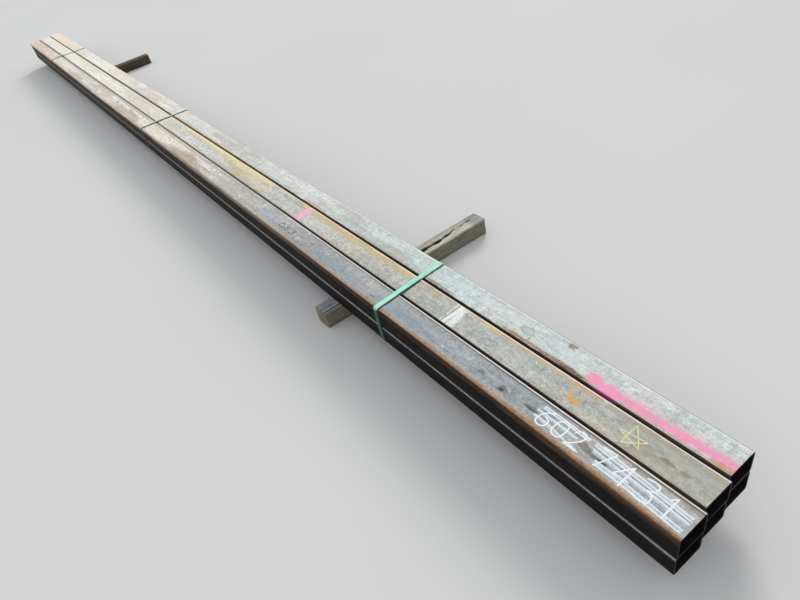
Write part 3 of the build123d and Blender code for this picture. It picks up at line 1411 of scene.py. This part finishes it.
@dataclass
class WeldBead:
    """The bead that the lengthwise weld leaves inside a tube.

    Attributes:
        tube: The tube that it runs in.
        side: The wall that it runs on.
        height: How far it runs above the middle of that wall, in metres.
        radius: Radius of the bead.
        sink: How far its middle lies in the wall.
        short: How far it stays back from each end.
        sides: Number of its sides.
    """

    tube: Tube
    side: Side
    height: float
    radius: float = 1.6 * MM
    sink: float = 0.6 * MM
    short: float = 1 * MM
    sides: int = 10

    def build(self, material: bpy.types.Material) -> bpy.types.Object:
        """Makes the bead from end to end of the tube.

        Args:
            material: Its finish.

        Returns:
            The piece.
        """
        tube = self.tube
        mesh = bmesh.new()
        ring = bmesh.ops.create_circle(mesh, cap_ends=True, segments=self.sides, radius=self.radius)
        wall_y = tube.middle.y + self.side * (tube.half.y - TUBE_WALL + self.sink)
        turn = Matrix.Rotation(math.radians(90), 4, "Y")
        place = Matrix.Translation((tube.far_x + self.short, wall_y, tube.middle.z + self.height))
        bmesh.ops.transform(mesh, matrix=place @ turn, verts=ring["verts"])
        grown = bmesh.ops.extrude_face_region(mesh, geom=list(mesh.faces))
        ends = [v for v in grown["geom"] if isinstance(v, bmesh.types.BMVert)]
        length = tube.near_x - tube.far_x - 2 * self.short
        bmesh.ops.translate(mesh, vec=(length, 0, 0), verts=ends)
        return add_piece(tube.node.replace("tube", "weld_bead"), mesh, material)


# Straps


@dataclass
class Station:
    """One place along a strap: where its inner face is, and which way is out.

    Attributes:
        y: Place across the bundle.
        z: Height.
        heading: Way out, in degrees up from the right.
        lift: How far the band stands off.
        shift: How far the band slides along the bundle.
    """

    y: float
    z: float
    heading: float
    lift: float
    shift: float = 0.0


@dataclass
class Strap(CadNode):
    """A flat band round the bundle whose two ends are lapped on the top.

    Attributes:
        bundle_y: The middle of the bundle.
        lap_left: Where the lower end stops, right of the middle of the bundle.
        lap_right: Where the upper end stops.
        lean: How far it slides along the bundle for each metre to the right.
        tail_shift: How far the lower end slips towards the near end.
        slid: How far the whole band has slid towards the near end.
        thickness: Thickness of the band.
        width: Width of the band.
        clearance: Space between the band and the tubes.
        bulge: How far the band stands off midway along a side.
        ramp: Length over which the upper end climbs onto the lower one.
        lap_gap: Space between the two ends where they are lapped.
        strips: Number of faces across the band.
        lap_steps: Number of steps from the lower end to the first corner.
        side_steps: Number of steps down a side.
        bottom_steps: Number of steps below the bundle.
        last_steps: Number of steps from the last corner to the upper end.
        corner_steps: Number of steps round a corner.
    """

    bundle_y: float
    lap_left: float
    lap_right: float
    lean: float
    tail_shift: float
    slid: float = 0.0
    thickness: float = 0.9 * MM
    width: float = 25.4 * MM
    clearance: float = 0.3 * MM
    bulge: float = 1.2 * MM
    ramp: float = 14 * MM
    lap_gap: float = 0.25 * MM
    strips: int = 4
    lap_steps: int = 24
    side_steps: int = 10
    bottom_steps: int = 16
    last_steps: int = 40
    corner_steps: int = 8

    def _run(
        self, start: Point, end: Point, heading: float, steps: int, bow: float = 0.0
    ) -> list[Station]:
        """Walks along a straight stretch.

        Args:
            start: First (y, z) place.
            end: Last (y, z) place.
            heading: Way out, in degrees.
            steps: Number of steps.
            bow: How far the middle stands off.

        Returns:
            The stations.
        """
        stations = []
        for i in range(steps + 1):
            share = i / steps
            y = start[0] + (end[0] - start[0]) * share
            z = start[1] + (end[1] - start[1]) * share
            stations.append(Station(y, z, heading, self.clearance + 4 * bow * share * (1 - share)))
        return stations

    def _turn(self, centre: Point, first: float) -> list[Station]:
        """Walks a quarter turn clockwise round a corner, without its two ends.

        Args:
            centre: Middle of the corner's arc as (y, z).
            first: Way out at its start, in degrees.

        Returns:
            The stations.
        """
        stations = []
        for i in range(1, self.corner_steps):
            heading = first - 90 * i / self.corner_steps
            angle = math.radians(heading)
            y = centre[0] + TUBE_CORNER * math.cos(angle)
            z = centre[1] + TUBE_CORNER * math.sin(angle)
            stations.append(Station(y, z, heading, self.clearance))
        return stations

    def _stations(self) -> list[Station]:
        """Walks once round the bundle from the lower end to the upper end.

        Returns:
            The stations.
        """
        off = self.thickness - self.clearance
        left, right = self.low.y + off, self.high.y - off
        bottom, top = self.low.z + off, self.high.z - off - self.thickness
        corner = TUBE_CORNER
        lap_left = self.bundle_y + self.lap_left
        lap_right = self.bundle_y + self.lap_right
        walk = self._run((lap_left, top), (right - corner, top), 90, self.lap_steps)
        walk += self._turn((right - corner, top - corner), 90)
        ends = (right, top - corner), (right, bottom + corner)
        walk += self._run(*ends, 0, self.side_steps, self.bulge)
        walk += self._turn((right - corner, bottom + corner), 0)
        ends = (right - corner, bottom), (left + corner, bottom)
        walk += self._run(*ends, -90, self.bottom_steps, self.bulge)
        walk += self._turn((left + corner, bottom + corner), -90)
        ends = (left, bottom + corner), (left, top - corner)
        walk += self._run(*ends, -180, self.side_steps, self.bulge)
        walk += self._turn((left + corner, top - corner), -180)
        walk += self._run((left + corner, top), (lap_right, top), -270, self.last_steps)
        for i, station in enumerate(walk):
            station.shift = self.slid + self.lean * (station.y - self.bundle_y)
            if i <= self.lap_steps:
                tail = max(0.0, 1 - (station.y - lap_left) / (lap_right - lap_left))
                station.shift += self.tail_shift * tail
            if i >= len(walk) - self.last_steps - 1:
                share = (station.y - lap_left + self.ramp) / self.ramp
                share = min(max(share, 0.0), 1.0)
                station.lift += (self.thickness + self.lap_gap) * share * share * (3 - 2 * share)
        return walk

    def build(self, finish: StrapFinish) -> bpy.types.Object:
        """Makes the band.

        Args:
            finish: Its paint.

        Returns:
            The piece, which replaces the CAD band.
        """
        walk = self._stations()
        mesh = bmesh.new()
        bmesh.ops.create_grid(mesh, x_segments=self.strips, y_segments=len(walk) - 1, size=0.5)
        for vert in mesh.verts:
            station = walk[round((vert.co.y + 0.5) * (len(walk) - 1))]
            angle = math.radians(station.heading)
            vert.co = Vector((
                self.middle.x + vert.co.x * self.width + station.shift,
                station.y + station.lift * math.cos(angle),
                station.z + station.lift * math.sin(angle),
            ))
        bmesh.ops.recalc_face_normals(mesh, faces=mesh.faces)
        bmesh.ops.solidify(mesh, geom=mesh.faces[:], thickness=self.thickness)
        piece = add_piece(self.node.replace("strap", "green_strap"), mesh, finish.build(self))
        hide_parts(self.node)
        return piece


# Bearers


@dataclass(frozen=True)
class Check:
    """A drying split along a timber's top.

    Attributes:
        start: Where it starts, as a share of the timber's length from its left end.
        end: Where it ends.
        offset: Its distance from the middle of the timber, towards the near end.
        width: Its widest opening.
        depth: Its greatest depth.
        wander: How far it strays sideways.
        slant: How far it runs aslant, for the whole length of the timber.
        OPEN: How far it is open away from its ends, on average.
        UNEVEN: How much that varies along the split.
        BLUNT: Power that shapes its ends: 1 tapers for long, and less is blunter.
    """

    start: float
    end: float
    offset: float
    width: float
    depth: float
    wander: float
    slant: float = 0.0

    OPEN: ClassVar[float] = 0.82
    UNEVEN: ClassVar[float] = 0.6
    BLUNT: ClassVar[float] = 0.4

    def openness(self, share: float) -> float:
        """Says how far the split has opened at a share of the timber's length.

        Args:
            share: Place along the timber, from 0 at its left end to 1.

        Returns:
            From 0, closed, to 1.
        """
        t = (share - self.start) / (self.end - self.start)
        if not 0 < t < 1:
            return 0.0
        uneven = self.OPEN + self.UNEVEN * noise.noise(Vector((share * 26, self.offset * 900, 2.0)))
        return min(1.0, math.sin(math.pi * t) ** self.BLUNT * uneven)

    def stray(self, share: float, y: float, seed: float) -> float:
        """Says how far the split strays towards the near end.

        Args:
            share: Place along the timber, from 0 at its left end to 1.
            y: The same place across the bundle, in metres.
            seed: The timber's stretch of the noise.

        Returns:
            The distance, in metres.
        """
        bends = noise.noise(Vector((y * 11, seed, self.offset * 90)))
        bends += 0.4 * noise.noise(Vector((y * 37, seed, self.offset * 70)))
        return bends * self.wander - self.slant * (share - (self.start + self.end) / 2)


@dataclass
class Bearer(CadNode):
    """A rough sawn timber across under the bundle.

    Attributes:
        finish: Its finish.
        checks: The splits in its top.
        slump: How far the near part of its top has sunk at the left end, where it has split off.
        slump_share: The share of its length over which that part comes up again.
        skew: How far its right end lies nearer than its middle.
        wear: Size of the rounding that wear leaves on its long edges.
        slice_length: Distance between the loops across it.
        ridge_step: Distance between the lengthwise loops that carry the ridges.
        ridge_height: Height of the ridges.
        bend_reach: How far beside a split the wood bends with it.
        rough_side: How uneven its sawn sides are.
        rough_end: How uneven its sawn ends are.
        FLAT: How far a corner may lie off a face and still count as on it.
    """

    finish: TimberFinish
    checks: tuple[Check, ...]
    slump: float = 0.0
    slump_share: float = 0.20
    skew: float = 0.0
    wear: float = 3.0 * MM
    slice_length: float = 8.0 * MM
    ridge_step: float = 5.0 * MM
    ridge_height: float = 0.9 * MM
    bend_reach: float = 18 * MM
    rough_side: float = 0.7 * MM
    rough_end: float = 1.5 * MM

    FLAT: ClassVar[float] = 1e-5

    def build(self) -> bpy.types.Object:
        """Makes the timber with its worn edges, sawn faces and splits.

        Returns:
            The piece, which replaces the CAD timber.
        """
        mesh = bmesh.new()
        bmesh.ops.create_cube(mesh, size=2.0)
        bmesh.ops.scale(mesh, vec=self.half, verts=mesh.verts)
        bmesh.ops.translate(mesh, vec=self.middle, verts=mesh.verts)
        long_edges = [e for e in mesh.edges if abs(e.verts[0].co.y - e.verts[1].co.y) > self.half.y]
        bmesh.ops.bevel(
            mesh,
            geom=long_edges,
            offset=self.wear,
            offset_type="OFFSET",
            segments=3,
            profile=0.5,
            affect="EDGES",
            material=-1,
        )
        self._cut_loops(mesh)
        self._raise_ridges(mesh)
        self._open_checks(mesh)
        if self.slump > 0:
            self._sink_split(mesh)
        self._roughen(mesh)
        for vert in mesh.verts:
            vert.co.x += self.skew * (vert.co.y - self.middle.y) / self.half.y
        piece = add_piece(
            self.node.replace("bearer", "timber_bearer"),
            mesh,
            self.finish.build(self),
        )
        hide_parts(self.node)
        return piece

    def _cut(self, mesh: bmesh.types.BMesh, point: Vector, normal: Vector) -> None:
        """Adds an edge loop where a plane crosses the timber."""
        geometry = mesh.verts[:] + mesh.edges[:] + mesh.faces[:]
        bmesh.ops.bisect_plane(mesh, geom=geometry, dist=1e-6, plane_co=point, plane_no=normal)

    def _cut_loops(self, mesh: bmesh.types.BMesh) -> None:
        """Cuts the loops that the ridges and splits need.

        Args:
            mesh: The timber's mesh.
        """
        centre, size = self.middle, 2 * self.half
        slices = int(size.y / self.slice_length)
        for i in range(1, slices):
            self._cut(mesh, Vector((0, self.low.y + size.y * i / slices, 0)), Vector((0, 1, 0)))
        middles = [(centre.x + check.offset, check.width / 2) for check in self.checks]
        places = [middle + side * half for middle, half in middles for side in (-1, 0, 1)]
        ridges = int((size.x - 3 * self.wear) / self.ridge_step)
        for i in range(ridges + 1):
            ridge = centre.x + (i - ridges / 2) * self.ridge_step
            if all(abs(ridge - place) > 0.5 * self.ridge_step for place in places):
                places.append(ridge)
        for place in places:
            self._cut(mesh, Vector((place, 0, 0)), Vector((1, 0, 0)))
        for step in (-0.25, 0.0, 0.25):
            self._cut(mesh, Vector((0, 0, centre.z + step * size.z)), Vector((0, 0, 1)))

    def _raise_ridges(self, mesh: bmesh.types.BMesh) -> None:
        """Wears the softer wood of the top down between the harder ridges.

        Args:
            mesh: The timber's mesh.
        """
        for vert in mesh.verts:
            if vert.co.z < self.high.z - 0.2 * MM:
                continue
            grain = noise.noise(Vector((vert.co.x * 170, vert.co.y * 5, self.finish.seed)))
            vert.co.z -= self.ridge_height * (0.5 + grain)

    def _open_checks(self, mesh: bmesh.types.BMesh) -> None:
        """Pushes the middle loop of each split down into the wood, and bends the wood round it.

        Args:
            mesh: The timber's mesh.
        """
        centre, size = self.middle, 2 * self.half
        upper = [vert for vert in mesh.verts if vert.co.z > self.high.z - self.wear]
        places = [vert.co.copy() for vert in upper]
        for check in self.checks:
            half = check.width / 2
            for vert, place in zip(upper, places):
                across = place.x - centre.x - check.offset
                share = (place.y - self.low.y) / size.y
                openness = check.openness(share)
                away = max(0.0, abs(across) - half)
                if away > self.bend_reach or openness <= 0:
                    continue
                bend = (1 - away / self.bend_reach) * min(1.0, 3 * openness)
                vert.co.x += check.stray(share, place.y, self.finish.seed) * bend
                if abs(across) < half:
                    vert.co.x += across * (openness - 1)
                    vert.co.z -= check.depth * openness * (1 - abs(across) / half)

    def _sink_split(self, mesh: bmesh.types.BMesh) -> None:
        """Lowers and shortens the part on the near side of the first split, at the left end.

        Args:
            mesh: The timber's mesh.
        """
        centre, size = self.middle, 2 * self.half
        split = centre.x + self.checks[0].offset
        for vert in mesh.verts:
            share = (vert.co.y - self.low.y) / size.y
            if vert.co.x < split or share > self.slump_share:
                continue
            sunk = self.slump * min(1.0, 1.6 * (1 - share / self.slump_share))
            if vert.co.z > centre.z:
                vert.co.z -= sunk * (vert.co.z - centre.z) / (size.z / 2)
            if share < 1e-4:
                vert.co.y += self.slump

    def _roughen(self, mesh: bmesh.types.BMesh) -> None:
        """Makes the sawn sides and ends slightly uneven, but keeps the underside flat.

        Args:
            mesh: The timber's mesh.
        """
        for vert in mesh.verts:
            place = vert.co.copy()
            rough = noise.noise(Vector((place.x * 30, place.y * 12, place.z * 30 + self.finish.seed)))
            side = 1 if place.x > self.middle.x else -1
            if min(abs(place.x - self.low.x), abs(place.x - self.high.x)) < self.FLAT:
                vert.co.x += side * rough * self.rough_side
            if min(abs(place.y - self.low.y), abs(place.y - self.high.y)) < self.FLAT:
                vert.co.y += rough * self.rough_end


# Marks drawn on the tops

Strokes = list[tuple[list[Point], float]]


class Stroke(Enum):
    """Plain figures as strokes in a box one wide and one high."""

    ZERO = ((0.55, 1.0), (0.1, 0.95), (0.05, 0.1), (0.5, -0.02), (0.95, 0.05), (0.95, 0.95), (0.5, 1.0))
    ONE = ((0.25, 0.8), (0.5, 1.0), (0.5, 1.0), (0.5, 0.0))
    TWO = ((0.1, 0.75), (0.3, 1.1), (0.95, 1.0), (0.8, 0.5), (0.05, 0.0), (0.05, 0.0), (0.95, 0.02))
    THREE = ((0.1, 0.95), (0.9, 1.1), (0.9, 0.6), (0.35, 0.52), (0.95, 0.5), (0.95, -0.1), (0.05, 0.05))
    FOUR = ((0.7, -0.05), (0.7, 1.0), (0.7, 1.0), (0.05, 0.3), (0.05, 0.3), (1.0, 0.32))
    SIX = ((0.85, 1.0), (0.2, 0.8), (0.0, 0.1), (0.5, -0.08), (0.95, 0.1), (0.9, 0.5), (0.4, 0.55))
    SEVEN = ((0.05, 0.95), (0.95, 1.0), (0.95, 1.0), (0.4, 0.0))


@dataclass
class TopMarks:
    """Figures and lines drawn on the tops of the tubes.

    Attributes:
        top: Height of the tops.
        bundle_y: The middle of the bundle.
        end_plane: The X from which u is measured.
        flatness: Height of a stroke as a share of its width.
        film: How far the middle of a stroke lies above the tops.
    """

    top: float
    bundle_y: float
    end_plane: float
    flatness: float = 0.08
    film: float = 0.02 * MM

    def _place(self, spot: Point) -> Vector:
        """Turns a (u, v) place in millimetres into a point on the top."""
        return Vector((self.end_plane - spot[0] * MM, self.bundle_y + spot[1] * MM, self.top))

    def _add_line(self, mesh: bmesh.types.BMesh, points: list[Point], width: float) -> None:
        """Adds one stroke to the mesh, as a round line that draw flattens.

        Args:
            mesh: The mesh so far.
            points: The stroke's (u, v) points, in millimetres.
            width: Its width, in millimetres.
        """
        curve = bpy.data.curves.new("stroke_line", "CURVE")
        curve.dimensions = "3D"
        curve.bevel_depth = width / 2 * MM
        curve.bevel_resolution = 1
        curve.resolution_u = 6
        curve.use_fill_caps = True
        spline = curve.splines.new("NURBS")
        spline.points.add(len(points) - 1)
        for target, spot in zip(spline.points, points):
            target.co = (*self._place(spot), 1.0)
            target.radius = 0.95 + 0.35 * noise.noise(Vector((spot[0] * 0.07, spot[1] * 0.07, 0.0)))
        spline.order_u = 3
        spline.use_endpoint_u = True
        line = bpy.data.objects.new("stroke_line", curve)
        solid = bpy.data.meshes.new_from_object(line)
        mesh.from_mesh(solid)
        bpy.data.objects.remove(line)
        bpy.data.curves.remove(curve)
        bpy.data.meshes.remove(solid)

    def draw(self, name: str, strokes: Strokes, material: bpy.types.Material) -> bpy.types.Object:
        """Draws strokes as thin rounded ribbons of paint.

        Args:
            name: Name of the piece.
            strokes: For each stroke its (u, v) points and its width, in millimetres.
            material: The paint.

        Returns:
            The piece.
        """
        mesh = bmesh.new()
        for points, width in strokes:
            self._add_line(mesh, points, width)
        for vert in mesh.verts:
            vert.co.z = self.top + (vert.co.z - self.top) * self.flatness + self.film
        return add_piece(name, mesh, material)

    def figures(
        self, figures: list[Stroke], first: Point, size: Point, step: float, width: float
    ) -> Strokes:
        """Lays out figures in a row that reads towards the near end.

        Args:
            figures: The figures, in reading order.
            first: Lower left corner of the first one, as (u, v) in millimetres.
            size: Width and height of a figure, in millimetres.
            step: Distance from one figure to the next, in millimetres.
            width: Width of the strokes, in millimetres.

        Returns:
            The strokes for draw.
        """
        strokes = []
        for i, figure in enumerate(figures):
            left = first[0] - i * step
            points = [(left - x * size[0], first[1] + y * size[1]) for x, y in figure.value]
            strokes.append((points, width))
        return strokes


# The whole bundle


@dataclass
class Bundle:
    """All of the dressed object.

    Attributes:
        key: The middle tube of the upper row, from which places are measured.
    """

    key: CadNode = field(default_factory=lambda: CadNode("tube_top_middle"))

    @property
    def bundle_y(self) -> float:
        """The middle of the bundle."""
        return self.key.middle.y

    @property
    def end_plane(self) -> float:
        """The X from which u is measured."""
        return self.key.high.x

    def build(self) -> list[bpy.types.Object]:
        """Dresses the tubes and makes the straps, bearers and marks.

        Returns:
            The pieces.
        """
        return self._dress_tubes() + self._build_straps() + self._build_bearers() + self._draw_marks()

    def _dress_tubes(self) -> list[bpy.types.Object]:
        """Gives each tube its finish and its weld bead.

        Returns:
            The tubes and beads.
        """
        scale = ((0.07, 0.05, 0.04), (0.08, 0.06, 0.05), (0.10, 0.08, 0.06))
        bead_finish = TubeFinish("steel_weld_bead", *scale, 3.0, corner_sheen=(0.0, 0.0))
        bead_material = bead_finish.build(Tube("tube_top_left", self.bundle_y, self.end_plane))
        pieces = []
        for i, (node, finish) in enumerate(tube_finishes().items()):
            tube = Tube(node, self.bundle_y, self.end_plane)
            bead = WeldBead(tube, Side.RIGHT if i % 2 else Side.LEFT, (-12 + 5 * i) * MM)
            pieces += [tube.dress(finish), bead.build(bead_material)]
        return pieces

    def _build_straps(self) -> list[bpy.types.Object]:
        """Makes the three straps, of which the near one is the lightest green.

        Returns:
            The straps.
        """
        near_finish = StrapFinish()
        # Painted shade on the darker straps: a dark green down the sides and a wide dark near edge.
        painted_light = {"side": (0.085, 0.09, 0.075), "dark": (0.02, 0.04, 0.028), "dark_edge": 12 * MM}
        dull = StrapFinish("strap_dull_green", (0.52, 0.68, 0.56), (0.68, 0.80, 0.70), **painted_light)
        far_tone = StrapFinish("strap_dark_green", (0.22, 0.29, 0.21), (0.32, 0.38, 0.29), **painted_light)
        mid = self.bundle_y
        near = Strap("strap_near", mid, -50 * MM, 42 * MM, lean=-0.041, tail_shift=9 * MM)
        middle = Strap("strap_middle", mid, -72 * MM, 20 * MM, lean=0.081, tail_shift=2 * MM, slid=8 * MM)
        far = Strap("strap_far", mid, -122 * MM, -30 * MM, lean=0.042, tail_shift=2 * MM)
        return [near.build(near_finish), middle.build(dull), far.build(far_tone)]

    def _build_bearers(self) -> list[bpy.types.Object]:
        """Makes the two timbers.

        Returns:
            The timbers.
        """
        near_checks = (
            Check(-0.05, 0.45, 24 * MM, 9 * MM, 18 * MM, 2 * MM),
            Check(0.42, 0.85, 6 * MM, 24 * MM, 32 * MM, 8 * MM, 46 * MM),
            Check(0.855, 0.90, -6 * MM, 13 * MM, 14 * MM, 3 * MM),
            Check(0.905, 0.945, -9 * MM, 10 * MM, 12 * MM, 3 * MM),
            Check(-0.04, 0.46, 9 * MM, 7 * MM, 11 * MM, 3 * MM),
            Check(-0.04, 0.46, -4 * MM, 5 * MM, 9 * MM, 2 * MM),
            Check(-0.04, 0.46, -16 * MM, 7 * MM, 11 * MM, 3 * MM),
        )
        far_checks = (Check(0.3, 1.02, -6 * MM, 5 * MM, 9 * MM, 5 * MM),)
        near = TimberFinish("timber_near", 1.0)
        # The far timber takes much darker colours than the near one, as painted shade.
        far = TimberFinish(
            "timber_far_shaded",
            8.0,
            silver=(0.15, 0.12, 0.09),
            pale=(0.15, 0.115, 0.08),
            side=(0.09, 0.068, 0.048),
            brown=(0.075, 0.05, 0.033),
            tip=(0.13, 0.10, 0.072),
        )
        timbers = (
            Bearer("bearer_near", near, near_checks, near.sunk, skew=10 * MM),
            Bearer("bearer_far", far, far_checks),
        )
        return [timber.build() for timber in timbers]

    def _draw_marks(self) -> list[bpy.types.Object]:
        """Draws the paint marker figures and lines, the crayon star and the faded figures.

        Returns:
            The drawn marks.
        """
        marks = TopMarks(self.key.high.z, self.bundle_y, self.end_plane)
        step = 46
        old = marks.figures([Stroke.ZERO, Stroke.SIX, Stroke.THREE], (1892, -118), (34, 22), step, 4.5)
        old += marks.figures([Stroke.SEVEN], (1650, -118), (26, 22), step, 4.0)
        white = FilmFinish("marker_white", (0.93, 0.965, 0.98), (0.60, 0.68, 0.74), 0.04)
        yellow = FilmFinish("crayon_yellow", (0.80, 0.81, 0.42), (0.46, 0.47, 0.38), 0.14, 0.8)
        faded = FilmFinish("faded_marker", (0.13, 0.14, 0.15), (0.34, 0.37, 0.40), 0.14, 0.7)
        drawn = (
            ("marker_figures", self._marker_strokes(marks), white),
            ("crayon_star", self._star_strokes(), yellow),
            ("faded_figures", old, faded),
        )
        return [marks.draw(name, strokes, film.build()) for name, strokes, film in drawn]

    @staticmethod
    def _marker_strokes(marks: TopMarks) -> Strokes:
        """Lays out two groups of marker figures, each struck through by long lines.

        Args:
            marks: The drawing surface.

        Returns:
            The strokes.
        """
        strokes = marks.figures([Stroke.SIX, Stroke.ZERO, Stroke.TWO], (430, -130), (38, 54), 50, 4.2)
        row = [Stroke.SEVEN, Stroke.FOUR, Stroke.THREE, Stroke.ONE]
        strokes += marks.figures(row, (254, -132), (44, 62), 61, 4.4)
        rules = (
            [(436, -75), (400, -74), (340, -75), (284, -78)],
            [(436, -82), (390, -83), (330, -82), (286, -85)],
            [(444, -94), (380, -95), (310, -98)],
            [(442, -112), (400, -112), (350, -120), (284, -129)],
            [(270, -74), (200, -78), (100, -82), (2, -88)],
            [(268, -84), (200, -88), (90, -92), (4, -97)],
            [(264, -95), (180, -98), (80, -101), (0, -105)],
            [(242, -116), (160, -117), (80, -122), (2, -126)],
            [(238, -128), (160, -127), (60, -133), (6, -136)],
        )
        strokes += [(rule, 2.7) for rule in rules]
        return strokes

    @staticmethod
    def _star_strokes() -> Strokes:
        """Lays out a five-pointed star, drawn by hand in one line.

        Returns:
            The strokes.
        """
        tips = [(232.0, -34.0), (235.0, 32.0), (191.0, -23.0), (259.0, -4.0), (184.0, 6.0)]
        bow = 2.0
        strokes = []
        for i, tip in enumerate(tips):
            other = tips[(i + 1) % len(tips)]
            middle = ((tip[0] + other[0]) / 2 + bow, (tip[1] + other[1]) / 2 - bow)
            strokes.append(([tip, middle, other], 3.4))
            bow = -bow
        return strokes


# Camera, light and floor


@dataclass
class Studio:
    """The floor, the light and the camera.

    Attributes:
        eye: Place of the camera.
        aim: A point in the middle of its view.
        roll_degrees: How far it is turned about its view, in degrees.
        focal_pixels: Its focal length, in pixels of the photograph.
        photo_width: Width of the photograph, in pixels.
        sensor_width: Width of its sensor, in millimetres.
        clip: Nearest and farthest distance that it shows.
        light_from: The way towards the lamp.
        lamp_strength: Strength of the lamp.
        lamp_width: How wide the lamp looks, in degrees.
        lamp_colour: Colour of the lamp.
        world_strength: Strength of the even light from all round.
        world_colour: Colour of that light.
        floor_reach: How far the floor reaches.
    """

    eye: Vector = field(default_factory=lambda: Vector((4.0075, -1.0037, 1.5451)))
    aim: Vector = field(default_factory=lambda: Vector((2.5695, -0.2458, 0.2274)))
    roll_degrees: float = 14.427
    focal_pixels: float = 627.5
    photo_width: float = 800.0
    sensor_width: float = 36.0
    clip: Point = (0.05, 400.0)
    light_from: Vector = field(default_factory=lambda: Vector((-0.59, 0.72, 0.62)))
    lamp_strength: float = 1.3
    lamp_width: float = 22.0
    lamp_colour: Colour = (1.0, 0.97, 0.92)
    world_strength: float = 0.70
    world_colour: Colour = (0.93, 0.96, 1.0)
    floor_reach: float = 150.0

    def build(self) -> None:
        """Makes all of it."""
        self._floor()
        self._lights()
        self._camera()

    def _floor(self) -> None:
        """Lays a large pale floor."""
        mesh = bmesh.new()
        bmesh.ops.create_grid(mesh, x_segments=1, y_segments=1, size=self.floor_reach)
        data = bpy.data.meshes.new("floor")
        mesh.to_mesh(data)
        mesh.free()
        floor = bpy.data.objects.new("floor", data)
        bpy.context.scene.collection.objects.link(floor)
        data.materials.append(FloorFinish().build())

    def _lights(self) -> None:
        """Sets a soft lamp from the far right and an even world."""
        lamp = bpy.data.lights.new("key", "SUN")
        lamp.energy = self.lamp_strength
        lamp.angle = math.radians(self.lamp_width)
        lamp.color = self.lamp_colour
        key = bpy.data.objects.new("key", lamp)
        key.rotation_mode = "QUATERNION"
        key.rotation_quaternion = self.light_from.to_track_quat("Z", "Y")
        bpy.context.scene.collection.objects.link(key)
        world = bpy.data.worlds.new("studio")
        bpy.context.scene.world = world
        world.use_nodes = True
        background = world.node_tree.nodes["Background"]
        background.inputs["Color"].default_value = (*self.world_colour, 1.0)
        background.inputs["Strength"].default_value = self.world_strength

    def _camera(self) -> None:
        """Puts the camera where the photograph was taken."""
        lens = bpy.data.cameras.new("camera")
        lens.sensor_fit = "HORIZONTAL"
        lens.sensor_width = self.sensor_width
        lens.lens = self.focal_pixels / self.photo_width * self.sensor_width
        lens.clip_start, lens.clip_end = self.clip
        forward = (self.aim - self.eye).normalized()
        level = forward.cross(Vector((0, 0, 1))).normalized()
        upright = level.cross(forward)
        roll = math.radians(self.roll_degrees)
        right = math.cos(roll) * level - math.sin(roll) * upright
        up = math.cos(roll) * upright + math.sin(roll) * level
        turn = Matrix((right, up, -forward)).transposed()
        camera = bpy.data.objects.new("camera", lens)
        camera.matrix_world = Matrix.Translation(self.eye) @ turn.to_4x4()
        bpy.context.scene.collection.objects.link(camera)
        bpy.context.scene.camera = camera


def main() -> None:
    """Builds the bundle and the studio, and reports each piece."""
    logging.basicConfig(level=logging.INFO, format="%(name)s: %(message)s")
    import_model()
    for piece in Bundle().build():
        LOG.info("built %s, %d faces", piece.name, len(piece.data.polygons))
    Studio().build()
    bpy.context.scene.view_settings.view_transform = "Standard"


if __name__ == "__main__":
    main()
